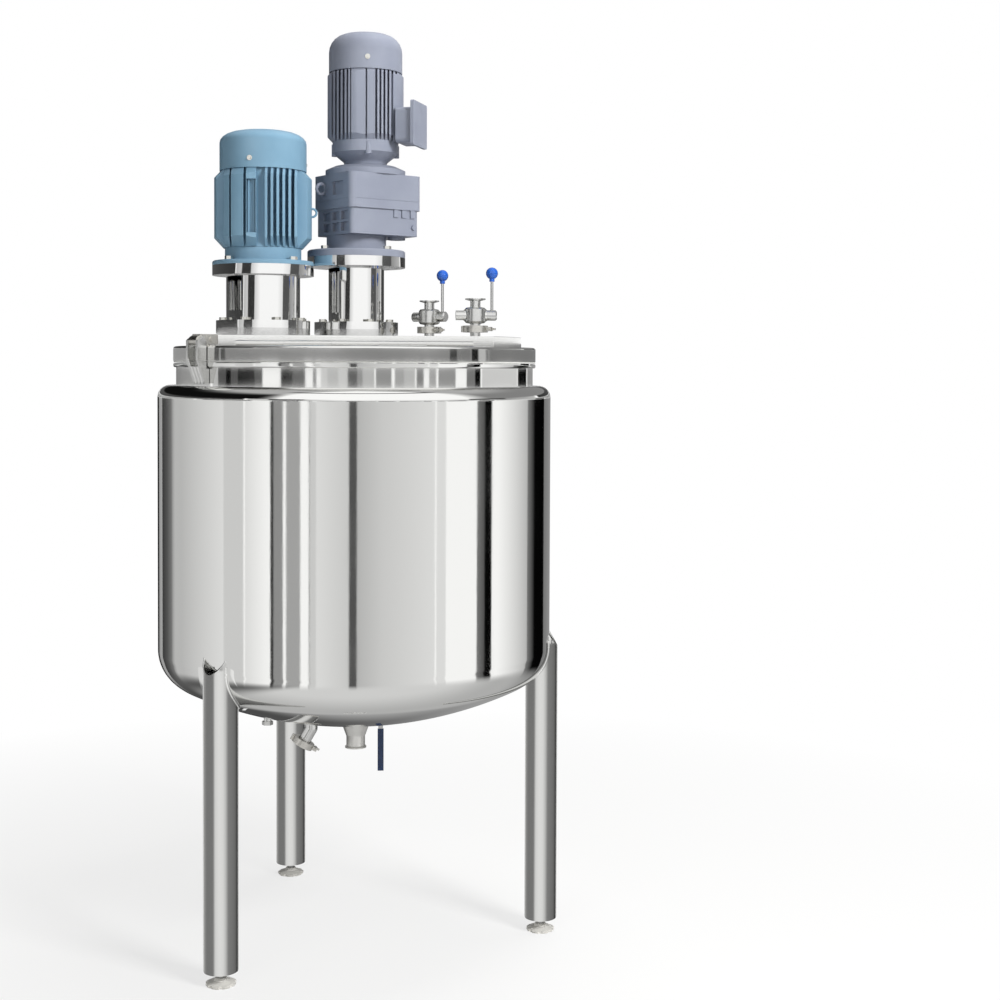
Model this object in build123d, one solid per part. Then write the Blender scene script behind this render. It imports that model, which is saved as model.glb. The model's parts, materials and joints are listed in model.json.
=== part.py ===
from build123d import *
import math
import os

# Product vessel and its heating jacket
vessel_radius = 450.0
vessel_wall = 4.0
vessel_knuckle = 50.0
vessel_crown = 950.0
dish_tangent_z = 740.0
jacket_gap = 43.0
jacket_wall = 3.0
jacket_top_z = 1405.0
jacket_corner = 30.0
rim_under_z = 1450.0
rim_height = 13.0
rim_overhang = 7.0
weld_gap = 0.3
rim_bevel = 4.0
gasket_height = 3.0
gasket_outer_step = 1.0
gasket_inner_step = 0.5

# Lid, its front hatch and the plate that carries the drives
lid_height = 36.0
lid_sheet = 4.0
lid_corner = 6.0
hatch_depth = 126.5
hatch_gap = 3.0
hatch_lip = 20.0
hatch_skirt_step = 2.0
hatch_mitre = 14.0
hatch_mitre_angle = 45.0
cover_lip_end = 2.0
hatch_lip_end = 20.0
hinge_pin_radius = 3.0
hinge_knuckle_radius = 6.0
hinge_knuckle_count = 5
hinge_length = 560.0
hinge_leaf_reach = 25.0
hinge_leaf_sheet = 2.5
running_fit = 0.05
knuckle_gap = 0.4
bridge_height = 26.0
bridge_wall = 5.0
bridge_hub_wall = 8.0
bridge_left_inset = 115.0
bridge_right_inset = 37.0
bridge_front_gap = 72.5
head_hole_gap = 3.0
seal_hole_gap = 1.0

# Legs and levelling feet
leg_inset = 20.0
leg_angles = (-7.0, -130.6, 113.0)
leg_radius = 41.3
leg_wall = 3.0
leg_bottom_z = 34.0
leg_mouth_z = 768.0
leg_mouth_slope = 1.5
leg_plug_height = 8.0
foot_pad_radius = 36.0
foot_pad_height = 12.0
foot_pad_bevel = 2.0
foot_pad_edge_low = 3.0
foot_pad_edge_high = 5.0
foot_neck_radius = 13.0
foot_neck_flare = 4.0
foot_neck_height = 6.0
foot_lobe_count = 8
foot_lobe_radius = 7.0
foot_lobe_offset = 3.0
stud_radius = 8.0
stud_nut_flats = 24.0
stud_nut_height = 7.0
stud_depth = 4.0
stud_end = 16.0

# Bottom outlet, jacket inlet, drain valve and probe pocket
outlet_radius = 24.15
outlet_wall = 2.0
outlet_length = 128.2
outlet_lip = 3.35
outlet_cone_radius = 42.0
outlet_cone_height = 51.0
outlet_cone_bite = 0.5
ferrule_lip = 7.0
ferrule_height = 6.0
ferrule_edge_share = 0.45
inlet_x = -114.0
inlet_y = 0.0
inlet_radius = 16.0
inlet_wall = 2.0
inlet_tilt = 30.0
inlet_drop = 38.0
inlet_leg = 42.0
drain_x = 66.0
drain_y = 200.0
drain_pipe_radius = 13.5
drain_bore = 9.0
drain_body_radius = 19.0
drain_body_height = 46.0
drain_body_top_z = 532.0
drain_stem_radius = 5.0
drain_lever_length = 146.0
drain_lever_width = 13.0
drain_lever_sheet = 3.0
drain_grip_length = 112.0
drain_grip_wall = 1.6
drain_hex_flats = 32.0
drain_hex_height = 9.0
drain_boss_radius = 10.0
drain_boss_step = 7.0
drain_ball_step = 5.0
drain_nut_radius = 6.5
drain_nut_height = 5.0
probe_angle = 214.0
probe_circle = 262.0
probe_radius = 9.0
probe_length = 9.0
probe_cap_height = 9.0
probe_cap_flats = 24.0

# Drive positions on the lid
shear_x = -230.0
shear_y = -108.0
gear_offset_x = 23.0

# Bolt patterns of the lanterns
base_bolt_count = 8
base_bolt_start = 22.5
base_bolt_radius = 5.0
base_bolt_inset = 12.5
gear_bolt_inset = 15.0
top_bolt_count = 4
top_bolt_start = 45.0
top_bolt_radius = 6.0
top_bolt_circle = 110.0
bolt_clearance = 0.5
bolt_head_flats = 16.0
bolt_head_height = 7.0
top_bolt_flats = 18.0
top_bolt_head = 8.0
seal_radius = 44.0
shear_seal_radius = 30.0
gland_step = 5.0
gland_rise = 14.0

# Levels of the shafts' couplings
shear_coupling_z = 1632.0
gear_coupling_z = 1648.0
coupling_height = 74.0
coupling_wall = 13.0

# High-shear drive: lantern and blue flange motor
lantern_base_radius = 116.0
lantern_base_height = 19.0
mount_disc_height = 19.0
shear_lantern_radius = 91.0
lantern_wall = 7.0
lantern_window = 58.0
lantern_window_lift = 22.0
lantern_window_drop = 4.0
shear_windows = (220.0, 40.0)
shear_lantern_top_z = 1702.0
lantern_top_radius = 125.0
lantern_top_height = 25.0
shear_flange_height = 11.0
shear_flange_radius = 125.0
shear_neck_radius = 94.0
shear_neck_height = 32.0
shear_frame_height = 196.0
shear_core_radius = 96.0
shear_fin_radius = 115.0
shear_pad_radius = 120.0
shear_cover_radius = 107.0
shear_cover_height = 98.0
shear_cover_shoulder = 29.0
shear_cover_flat = 53.0
cover_round_steps = 6
shear_eye_radius = 10.0
shear_eye_wire = 2.8
cover_overlap = 6.0
cover_wall = 2.5
grille_ring_shares = (0.30, 0.55, 0.80)
grille_hole_counts = (6, 8, 12)
grille_hole_radius = 4.5
cover_screw_angles = (256.0, 16.0, 136.0)
cover_screw_lift = 16.0
screw_washer_radius = 6.5
screw_washer_height = 1.6
screw_head_radius = 3.6
screw_head_height = 4.0
shaft_hole_gap = 1.0
flange_edge = 3.0
shear_pocket_floor = 8.0
shear_pocket_share = 0.75
shear_pad_width = 92.0
shear_frame_taper = 24.0
shear_fin_pitch = 14.0
shear_fin_count = 6
shear_fin_sheet = 6.0
shear_front_pads = ((-83.0, 15.0), (-56.0, 31.0), (-22.0, 24.0))
tie_bolt_x = -22.0
tie_bolt_slot = 22.0
tie_bolt_slot_depth = 28.0
tie_bolt_low_share = 0.16
tie_bolt_tall_share = 0.66
tie_web_offset = 6.0
tie_web_sheet = 4.0
tie_web_depth = 14.0
shear_eye_share = 0.46
shear_eye_seat = 1.5
motor_shaft_radius = 14.0

# Cooling fans under both covers
fan_tip_gap = 14.0
fan_lift = 8.0
fan_height = 26.0
fan_hub_wall = 8.0
fan_plate_share = 0.75
fan_sheet = 3.0
fan_blade_count = 7
shaft_above_frame = 40.0

# Agitator drive: lantern, helical gear housing and grey motor
gear_base_radius = 107.0
gear_lantern_radius = 71.0
gear_windows = (210.0, 30.0)
gear_lantern_top_z = 1731.0
gear_flange_height = 18.0
gear_flange_radius = 125.0
gear_neck_radius = 76.0
gear_neck_height = 37.0
gear_case_width = 213.0
gear_case_depth = 185.0
gear_case_height = 153.0
gear_case_yaw = 32.0
gear_case_step = 6.0
gear_case_lower = 65.0
gear_case_lower_corner = 12.0
gear_case_upper_corner = 16.0
gear_case_shift = 5.0
gear_seam_rise = 22.0
gear_seam_width = 1.6
gear_seam_depth = 1.0
rib_places = (30.0, 54.0, 80.0)
rib_width = 13.0
rib_depth = 8.0
rib_height = 21.0
oil_plug_x = 84.0
oil_plug_z = 22.0
oil_plug_radius = 6.5
oil_plug_height = 5.0
pocket_places = (-52.0, -10.0, 34.0)
pocket_levels = (8.0, 36.0)
pocket_depth = 18.0
pocket_width = 32.0
pocket_height = 22.0
shaft_case_gap = 2.0
adapter_radius = 102.0
adapter_height = 28.0
bell_neck_radius = 53.0
bell_radius = 84.0
bell_height = 58.0
stator_height = 182.0
stator_core_radius = 82.0
stator_fin_radius = 94.0
stator_pad_radius = 97.0
gear_cover_radius = 93.5
gear_cover_height = 98.0
gear_cover_shoulder = 46.0
gear_cover_flat = 46.75
terminal_yaw = -20.0
terminal_seat_width = 70.0
terminal_box_reach = 42.0
terminal_box_width = 96.0
terminal_box_height = 88.0
terminal_lid_sheet = 8.0
terminal_box_corner = 10.0
terminal_box_drop = 6.0
terminal_lid_overhang = 8.0
terminal_lid_rise = 24.0
terminal_lid_corner = 6.0
stator_fin_sheet = 5.0
stator_left_fins = (-88.0, -79.0, -70.0, -60.0, -50.0, -41.0)
stator_right_fins = (32.0, 42.0, 52.0, 62.0, 72.0, 82.0)
stator_front_pads = ((-18.0, 36.0), (14.0, 20.0))
stator_pad_width = 70.0
stator_taper = 14.0
gear_screw_angles = (-87.0, 33.0, 153.0)
gear_screw_lift = 22.0
bell_bolt_count = 4
bell_bolt_start = -85.0
bell_bolt_boss = 8.5

# Agitator inside the vessel
agitator_shaft_radius = 25.0
anchor_wall_gap = 22.0
anchor_arm_width = 58.0
anchor_arm_sheet = 10.0
anchor_top_z = 1290.0
anchor_hub_radius = 42.0
anchor_hub_height = 96.0
scraper_count = 4
scraper_height = 110.0
scraper_sheet = 12.0
scraper_seat = 16.0
scraper_gap = 4.0
scraper_first_z = 30.0
scraper_field_trim = 40.0
scraper_heel_share = 0.9
anchor_corner_share = 0.8
anchor_shaft_seat = 20.0
agitator_shaft_end = 28.0

# High-shear mixing head
head_flange_radius = 86.0
head_flange_height = 11.0
head_flange_z = 868.0
rod_radius = 9.5
rod_circle = 73.5
rod_count = 3
rod_start_angle = -90.0
rod_bolt_radius = 5.0
shear_shaft_radius = 13.0
stator_outer = 54.0
stator_wall = 8.5
stator_fillet = 7.5
stator_depth = 62.0
slot_count = 24
slot_width = 6.0
slot_length = 34.0
rotor_gap = 0.5
rotor_rim = 6.5
rotor_height = 30.0
rotor_recess = 2.0
rotor_arms = 3
rotor_hub = 15.0
dome_nut_flats = 20.0
dome_nut_height = 12.0
rotor_nut_flats = 22.0
bush_wall = 6.0
bush_height = 24.0
stator_roof = 12.0
rotor_shaft_step = 5.0
rotor_nut_height = 11.0
rotor_shaft_end = 8.0
propeller_rise = 120.0
propeller_blade_count = 3
propeller_blade_tilt = 32.0
propeller_blade_reach = 36.0
propeller_blade_width = 30.0
propeller_blade_sheet = 3.0
propeller_hub_wall = 7.0
propeller_hub_height = 28.0

# Small ball valves on the lid
valve_places = ((188.0, 10.0, -38.0), (297.0, -140.0, 0.0))
pipe_radius = 12.7
pipe_wall = 1.65
clamp_ferrule_radius = 25.25
clamp_ferrule_height = 2.9
nozzle_height = 20.0
valve_neck = 15.0
valve_body_radius = 27.0
valve_body_height = 38.0
valve_ball_radius = 17.0
ball_gap = 0.3
valve_boss_radius = 14.0
valve_boss_reach = 29.0
valve_stem_radius = 5.0
lever_hub_radius = 13.0
lever_hub_length = 24.0
lever_rod_radius = 3.6
lever_length = 105.0
knob_radius = 15.0
clamp_ring_radius = 33.0
clamp_ring_height = 14.0
clamp_groove_gap = 0.2
lid_clamp_half = 6.35
lid_clamp_yaw = -20.0

# Swing clamp at the lid's rim
lid_clamp_angle = 217.5
clamp_pin_radius = 5.0
clamp_pin_z = 1514.0
clamp_pin_reach = 13.0
clamp_arm_fit = 0.6
clamp_arm_lift = 3.0
clamp_arm_length = 47.0
clamp_arm_height = 24.0
clamp_arm_width = 34.0
clamp_ear_sheet = 9.0
clamp_bracket_height = 76.0
clamp_bracket_top_z = 1488.0
clamp_pad_radius = 9.0
clamp_foot = 12.0
flute_pitch = 14.0
flute_radius = 5.0

up = (Align.CENTER, Align.CENTER, Align.MIN)
nodes = {}
clamps = []
screws = []
pins = []

# Levels and radii that follow from the sizes above
vessel_outer = vessel_radius + vessel_wall
jacket_inner = vessel_outer + jacket_gap
jacket_radius = jacket_inner + jacket_wall
rim_top_z = rim_under_z + rim_height
rim_radius = vessel_outer + rim_overhang
lid_under_z = rim_top_z + gasket_height
lid_top_z = lid_under_z + lid_height
bridge_top_z = lid_top_z + bridge_height
flange_top_z = bridge_top_z + mount_disc_height + lantern_base_height
crown_rise = math.sqrt((vessel_crown - vessel_knuckle) ** 2 - (vessel_radius - vessel_knuckle) ** 2)
outlet_face_z = dish_tangent_z + crown_rise - vessel_crown - outlet_length
hatch_chord_y = hatch_depth - rim_radius
bridge_left_x = bridge_left_inset - rim_radius
bridge_right_radius = rim_radius - bridge_right_inset
bridge_front_y = hatch_chord_y + bridge_front_gap
leg_circle = jacket_radius - leg_inset
clamp_pin_circle = rim_radius + clamp_pin_reach
base_bolt_circle = lantern_base_radius - base_bolt_inset
gear_bolt_circle = gear_base_radius - gear_bolt_inset


def rod(radius, z0, z1, x=0.0, y=0.0):
    return Pos(x, y, z0) * Cylinder(radius, z1 - z0, align=up)


def ring(outer, inner, z0, z1, x=0.0, y=0.0):
    return rod(outer, z0, z1, x, y) - rod(inner, z0 - 1, z1 + 1, x, y)


def turned(points):
    outline = Polyline([(r, 0, z) for r, z in points], close=True)
    return revolve(make_face(outline), Axis.Z)


def hexagon(flats, z0, z1, x=0.0, y=0.0):
    return Pos(x, y, z0) * extrude(RegularPolygon(flats / 2, 6, major_radius=False), z1 - z0)


def around(count, radius, start=0.0):
    angles = [math.radians(start + 360.0 * k / count) for k in range(count)]
    return [(radius * math.cos(a), radius * math.sin(a)) for a in angles]


def polar(radius, degrees):
    return radius * math.cos(math.radians(degrees)), radius * math.sin(math.radians(degrees))


def joined(shapes):
    whole = shapes[0]
    for shape in shapes[1:]:
        whole = whole + shape
    return whole


def group(shapes, place=Pos(0, 0, 0)):
    return Compound(children=[place * shape for shape in shapes])


def dish_bottom(offset, radius=0.0):
    crown = vessel_crown + offset
    return dish_tangent_z + crown_rise - math.sqrt(crown ** 2 - radius ** 2)


def dish_curves(offset, top_z):
    # A straight wall, a knuckle arc and a crown arc, all parallel to the vessel's inside
    radius = vessel_radius + offset
    knuckle = vessel_knuckle + offset
    crown = vessel_crown + offset
    turn = math.atan2(crown_rise, vessel_radius - vessel_knuckle)
    centre_r = vessel_radius - vessel_knuckle

    def knuckle_point(angle):
        return (centre_r + knuckle * math.cos(angle), 0, dish_tangent_z - knuckle * math.sin(angle))

    def crown_point(angle):
        return (crown * math.cos(angle), 0, dish_tangent_z + crown_rise - crown * math.sin(angle))

    middle = (turn + math.pi / 2) / 2
    wall = Line((radius, 0, top_z), (radius, 0, dish_tangent_z))
    bend = ThreePointArc(knuckle_point(0), knuckle_point(turn / 2), knuckle_point(turn))
    bowl = ThreePointArc(knuckle_point(turn), crown_point(middle), crown_point(math.pi / 2))
    return [wall, bend, bowl]


def dished_solid(offset, top_z):
    radius = vessel_radius + offset
    edges = dish_curves(offset, top_z)
    edges.append(Line((0, 0, dish_bottom(offset)), (0, 0, top_z)))
    edges.append(Line((0, 0, top_z), (radius, 0, top_z)))
    return revolve(make_face(edges), Axis.Z)


def jacket_solid(offset, top_z, corner):
    # The jacket's wall turns in round the corner and then runs flat to the neck
    radius = vessel_radius + offset
    centre_r = radius - corner
    low = top_z - corner
    half = math.sqrt(0.5)
    edges = dish_curves(offset, low)
    mid = (centre_r + corner * half, 0, low + corner * half)
    edges.append(ThreePointArc((radius, 0, low), mid, (centre_r, 0, top_z)))
    edges.append(Line((centre_r, 0, top_z), (0, 0, top_z)))
    edges.append(Line((0, 0, top_z), (0, 0, dish_bottom(offset))))
    return revolve(make_face(edges), Axis.Z)


def build_vessel():
    inside = dished_solid(0.0, rim_top_z + 1)
    vessel = dished_solid(vessel_wall, rim_top_z) - inside
    vessel -= rod(outlet_radius + weld_gap, outlet_face_z, dish_tangent_z)
    nodes["inner_vessel"] = vessel
    outside = vessel_wall + jacket_gap + jacket_wall
    jacket = jacket_solid(outside, jacket_top_z, jacket_corner)
    jacket -= jacket_solid(outside - jacket_wall, jacket_top_z - jacket_wall, jacket_corner - jacket_wall)
    jacket -= rod(vessel_outer, jacket_top_z - 2 * jacket_gap, jacket_top_z + 1)
    jacket -= rod(outlet_cone_radius + weld_gap, outlet_face_z, dish_tangent_z)
    jacket -= rod(inlet_radius + weld_gap, outlet_face_z, dish_tangent_z, inlet_x, inlet_y)
    jacket -= rod(drain_pipe_radius + weld_gap, outlet_face_z, dish_tangent_z, drain_x, drain_y)
    nodes["jacket_shell"] = jacket
    flange = turned([(vessel_outer, rim_under_z), (rim_radius - rim_bevel, rim_under_z),
                     (rim_radius, rim_under_z + rim_bevel), (rim_radius, rim_top_z),
                     (vessel_outer, rim_top_z)])
    nodes["rim_flange"] = flange
    nodes["lid_gasket"] = ring(rim_radius - gasket_outer_step, vessel_radius + gasket_inner_step,
                               rim_top_z, lid_under_z)


def lid_bell(grow):
    # A flat cover with a rounded edge and a skirt that stands on the gasket
    outer = rim_radius + grow
    inner = outer - lid_sheet
    bend = lid_corner
    inner_bend = lid_corner - lid_sheet
    half = math.sqrt(0.5)

    def corner(radius, reach, level):
        centre = (reach - radius, level - radius)
        return (centre[0] + radius * half, 0, centre[1] + radius * half)

    top = lid_top_z
    under = lid_top_z - lid_sheet
    edges = [
        Line((0, 0, top), (outer - bend, 0, top)),
        ThreePointArc((outer - bend, 0, top), corner(bend, outer, top), (outer, 0, top - bend)),
        Line((outer, 0, top - bend), (outer, 0, lid_under_z)),
        Line((outer, 0, lid_under_z), (inner, 0, lid_under_z)),
        Line((inner, 0, lid_under_z), (inner, 0, under - inner_bend)),
        ThreePointArc((inner, 0, under - inner_bend), corner(inner_bend, inner, under),
                      (inner - inner_bend, 0, under)),
        Line((inner - inner_bend, 0, under), (0, 0, under)),
        Line((0, 0, under), (0, 0, top)),
    ]
    return revolve(make_face(edges), Axis.Z)


def lid_openings(clear):
    # Round holes for the two drives and the two valve nozzles
    holes = [rod(head_flange_radius + head_hole_gap + clear, lid_under_z, bridge_top_z + 1, shear_x, shear_y)]
    holes.append(rod(seal_radius + seal_hole_gap + clear, lid_under_z, bridge_top_z + 1))
    for valve in valve_places:
        holes.append(rod(pipe_radius + weld_gap + clear, lid_under_z, bridge_top_z + 1, valve[0], valve[1]))
    return holes


def half_space(y0, y1):
    # A box that takes in the lid's whole height between two lines across it
    width = 4 * rim_radius
    return Pos(0, (y0 + y1) / 2, lid_under_z - lid_height) * Box(width, y1 - y0, 3 * lid_height, align=up)


def build_lid():
    reach = 2 * rim_radius
    rear_edge = hatch_chord_y + hatch_gap / 2
    front_edge = hatch_chord_y - hatch_gap / 2
    cover = lid_bell(0.0) & half_space(rear_edge, reach)
    lip_z = lid_top_z - lid_sheet - hatch_lip
    lip_reach = math.sqrt((rim_radius - lid_corner - lid_sheet) ** 2 - (rear_edge - lid_sheet) ** 2)
    lip = Box(2 * (lip_reach - cover_lip_end), lid_sheet, hatch_lip, align=up)
    lip = Pos(0, rear_edge + lid_sheet / 2, lip_z) * lip
    cover = cover + lip
    for hole in lid_openings(0.0):
        cover -= hole
    nodes["lid_cover"] = cover
    hatch = lid_bell(hatch_skirt_step) & half_space(-reach, front_edge)
    lip = Box(2 * (lip_reach - hatch_lip_end), lid_sheet, hatch_lip, align=up)
    lip = Pos(0, front_edge - lid_sheet / 2, lip_z) * lip
    hatch = hatch + lip
    # The ends of the skirt are mitred where they meet the fixed cover
    end_x = math.sqrt((rim_radius + hatch_skirt_step) ** 2 - front_edge ** 2)
    for side in (-1, 1):
        wedge = Pos(side * end_x, front_edge, lid_under_z - 1) * Rot(0, 0, side * hatch_mitre_angle)
        hatch -= wedge * Box(hatch_mitre, 4 * hatch_mitre, lid_height - lid_corner, align=up)
    nodes["hatch"] = hatch
    build_hinge()


def build_hinge():
    # A long pin hinge along the hatch's straight edge: odd knuckles belong to the cover
    pin_z = lid_top_z + hinge_knuckle_radius + weld_gap
    pitch = hinge_length / hinge_knuckle_count
    along = Rot(0, 90, 0)
    bore = Pos(0, hatch_chord_y, pin_z) * along * Cylinder(hinge_pin_radius + running_fit, 2 * hinge_length)
    fixed = []
    moving = []
    for k in range(hinge_knuckle_count):
        x = (k + 0.5) * pitch - hinge_length / 2
        barrel = Pos(x, hatch_chord_y, pin_z) * along * Cylinder(hinge_knuckle_radius, pitch - knuckle_gap)
        side = 1 if k % 2 == 0 else -1
        leaf = Pos(x, hatch_chord_y + side * hinge_leaf_reach / 2, lid_top_z)
        leaf = leaf * Box(pitch - knuckle_gap, hinge_leaf_reach, hinge_leaf_sheet, align=up)
        piece = barrel + leaf - bore
        if side > 0:
            fixed.append(piece)
        else:
            moving.append(piece)
    nodes["hinge_fixed_leaves"] = group(fixed)
    nodes["hinge_hatch_leaves"] = group(moving)
    pins.append(Pos(0, hatch_chord_y, pin_z) * along * Cylinder(hinge_pin_radius, hinge_length))


def bridge_outline(inset):
    reach = bridge_right_radius - inset
    left = bridge_left_x + inset
    front = bridge_front_y + inset
    plate = Circle(reach) & (Pos((reach + left) / 2, 0) * Rectangle(reach - left, -2 * front))
    return plate


def build_bridge():
    plate = Pos(0, 0, lid_top_z) * extrude(bridge_outline(0.0), bridge_height)
    hollow = Pos(0, 0, lid_top_z) * extrude(bridge_outline(bridge_wall), bridge_height - bridge_wall)
    inside = hollow
    ribs = []
    hub_radius = head_flange_radius + head_hole_gap + bridge_hub_wall
    ribs.append(rod(hub_radius, lid_top_z, bridge_top_z, shear_x, shear_y))
    ribs.append(rod(seal_radius + seal_hole_gap + bridge_hub_wall, lid_top_z, bridge_top_z))
    for valve in valve_places:
        ribs.append(rod(pipe_radius + bridge_hub_wall, lid_top_z, bridge_top_z, valve[0], valve[1]))
    for y in (-gear_base_radius, gear_base_radius):
        ribs.append(Pos(0, y, lid_top_z) * Box(2 * bridge_right_radius, bridge_wall, bridge_height, align=up))
    inside = inside - joined(ribs)
    plate = plate - inside
    for hole in lid_openings(0.0):
        plate -= hole
    for x, y in around(base_bolt_count, base_bolt_circle, base_bolt_start):
        plate -= rod(base_bolt_radius, lid_top_z - 1, bridge_top_z + 1, shear_x + x, shear_y + y)
    for x, y in around(base_bolt_count, gear_bolt_circle, base_bolt_start):
        plate -= rod(base_bolt_radius, lid_top_z - 1, bridge_top_z + 1, x, y)
    nodes["bridge_plate"] = plate


def bolt(radius, flats, head, x, y, z_seat, grip, head_up=True):
    # A hexagon head bolt whose head sits on the face at z_seat
    sign = 1 if head_up else -1
    z_end = z_seat - sign * grip
    shank = rod(radius, min(z_seat, z_end), max(z_seat, z_end), x, y)
    z_head = z_seat + sign * head
    return shank + hexagon(flats, min(z_seat, z_head), max(z_seat, z_head), x, y)


def lantern(place, base_radius, body_radius, top_z, bolt_circle, windows):
    # A base flange, a tube with windows and a top flange, stacked face to face
    z_base = bridge_top_z + mount_disc_height
    z_flange = top_z - lantern_top_height
    bore = body_radius - lantern_wall
    foot = ring(base_radius, bore, z_base, flange_top_z)
    tube = ring(body_radius, bore, flange_top_z, z_flange)
    head = ring(lantern_top_radius, bore, z_flange, top_z)
    z_sill = flange_top_z + lantern_window_lift
    for angle in windows:
        slot = Rot(0, 0, angle) * Pos(body_radius, 0, (z_sill + z_flange) / 2)
        tube -= slot * Box(body_radius, lantern_window, z_flange - z_sill - lantern_window_drop)
    for bx, by in around(base_bolt_count, bolt_circle, base_bolt_start):
        foot -= rod(base_bolt_radius + bolt_clearance, z_base - 1, flange_top_z + 1, bx, by)
    for bx, by in around(top_bolt_count, top_bolt_circle, top_bolt_start):
        head -= rod(top_bolt_radius + bolt_clearance, z_flange - 1, top_z + 1, bx, by)
    return group([foot, tube, head], Pos(place[0], place[1], 0))


def mount_disc(place, base_radius, bore, bolt_circle):
    z0 = bridge_top_z
    z1 = bridge_top_z + mount_disc_height
    disc = ring(base_radius, bore, z0, z1)
    for bx, by in around(base_bolt_count, bolt_circle, base_bolt_start):
        disc -= rod(base_bolt_radius + bolt_clearance, z0 - 1, z1 + 1, bx, by)
    return Pos(place[0], place[1], 0) * disc


def base_bolts(place, bolt_circle):
    grip = mount_disc_height + lantern_base_height + bridge_wall
    bolts = []
    for bx, by in around(base_bolt_count, bolt_circle, base_bolt_start):
        head_radius = base_bolt_radius - bolt_clearance
        bolts.append(bolt(head_radius, bolt_head_flats, bolt_head_height, place[0] + bx, place[1] + by,
                          flange_top_z, grip))
    return bolts


def top_bolts(place, top_z, flange_height):
    bolts = []
    for bx, by in around(top_bolt_count, top_bolt_circle, top_bolt_start):
        grip = lantern_top_height + flange_height
        bolts.append(bolt(top_bolt_radius, top_bolt_flats, top_bolt_head, place[0] + bx, place[1] + by,
                          top_z + flange_height, grip))
    return bolts


def finned_frame(core, tip, pad, pad_width, fins, pads, height, chamfer):
    # Parallel cooling fins on the front and rear, and on both flanks, cut to a round envelope
    section = Circle(core)
    for turn in (0, 180):
        for x, width in pads:
            section += Rot(0, 0, turn) * Pos(x, -tip / 2) * Rectangle(width, tip)
        for x, width in fins:
            section += Rot(0, 0, turn) * Pos(x, -tip / 2) * Rectangle(width, tip)
        section += Rot(0, 0, turn) * Pos(pad / 2, 0) * Rectangle(pad, pad_width)
    frame = extrude(section, height)
    envelope = turned([(0, 0), (core + 2, 0), (pad, chamfer), (pad, height - chamfer), (core + 2, height),
                       (0, height)])
    return frame & envelope


def build_legs():
    shell = dished_solid(vessel_wall + jacket_gap + jacket_wall + weld_gap, jacket_top_z)
    legs = []
    plugs = []
    pads = []
    studs = []
    for angle in leg_angles:
        tube = ring(leg_radius, leg_radius - leg_wall, leg_bottom_z, leg_mouth_z + leg_radius, leg_circle)
        # The mouth is cut on a slope that falls outwards from the jacket
        outer = leg_circle + leg_radius
        slope_z = leg_mouth_z - leg_mouth_slope * (outer - jacket_radius)
        far = 3 * leg_radius
        cut = Polyline([(outer + far, -far, slope_z - leg_mouth_slope * far),
                        (outer - far, -far, slope_z + leg_mouth_slope * far),
                        (outer + far, -far, slope_z + leg_mouth_slope * far)], close=True)
        tube -= extrude(make_face(cut), 2 * far, dir=(0, 1, 0))
        tube = Rot(0, 0, angle) * tube - shell
        legs.append(tube)
        x, y = polar(leg_circle, angle)
        plugs.append(ring(leg_radius - leg_wall, stud_radius + running_fit, leg_bottom_z,
                          leg_bottom_z + leg_plug_height, x, y))
        neck_top = foot_pad_height + foot_neck_height
        pad = turned([(0, 0), (foot_pad_radius - foot_pad_bevel, 0), (foot_pad_radius, foot_pad_edge_low),
                      (foot_pad_radius, foot_pad_edge_high),
                      (foot_neck_radius + foot_neck_flare, foot_pad_height),
                      (foot_neck_radius, neck_top), (0, neck_top)])
        pad = Pos(x, y, 0) * pad
        for lx, ly in around(foot_lobe_count, foot_pad_radius + foot_lobe_offset, angle):
            pad -= rod(foot_lobe_radius, -1, foot_pad_height, x + lx, y + ly)
        stud_low = foot_pad_height - stud_depth
        stud_top = leg_bottom_z + leg_plug_height + stud_end
        pads.append(pad - rod(stud_radius, stud_low, neck_top + 1, x, y))
        studs.append(rod(stud_radius, stud_low, stud_top, x, y))
        nut = hexagon(stud_nut_flats, leg_bottom_z - stud_nut_height, leg_bottom_z, x, y)
        studs.append(nut - rod(stud_radius + running_fit, 0, leg_bottom_z + 1, x, y))
    nodes["leg_end_plugs"] = group(plugs)
    nodes["foot_pads"] = group(pads)
    nodes["foot_studs"] = group(studs)
    nodes["legs"] = group(legs)


def ferrule(outer, inner, z_face, lip_width=ferrule_lip):
    # A clamp ferrule: a thin disc whose back slopes into the pipe
    lip = outer + lip_width
    return turned([(inner, z_face), (lip, z_face), (lip, z_face + ferrule_height * ferrule_edge_share),
                   (outer, z_face + ferrule_height), (inner, z_face + ferrule_height)])


def build_ports():
    inner = outlet_radius - outlet_wall
    top = dish_bottom(0.0) + vessel_wall / 2
    offset = vessel_wall + jacket_gap + jacket_wall
    cone_mouth = dish_bottom(offset, outlet_cone_radius)
    cone_top = dish_bottom(vessel_wall + weld_gap)
    outlet = ring(outlet_radius, inner, outlet_face_z, top)
    outlet += ferrule(outlet_radius, inner, outlet_face_z, outlet_lip)
    root = outlet_radius - outlet_cone_bite
    outlet += turned([(root, cone_mouth - outlet_cone_height), (outlet_cone_radius, cone_mouth),
                      (outlet_cone_radius, cone_top), (root, cone_top)])
    nodes["bottom_outlet"] = outlet
    x, y = polar(probe_circle, probe_angle)
    top = dish_bottom(offset, probe_circle)
    z_stub = top - probe_length
    stub = rod(probe_radius, z_stub, top + 20, x, y)
    stub = stub - dished_solid(offset + weld_gap, jacket_top_z)
    cap = hexagon(probe_cap_flats, z_stub - probe_cap_height, z_stub, x, y)
    pieces = build_inlet() + [stub + cap, drain_pipe()]
    nodes["jacket_nozzles"] = group(pieces)


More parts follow.
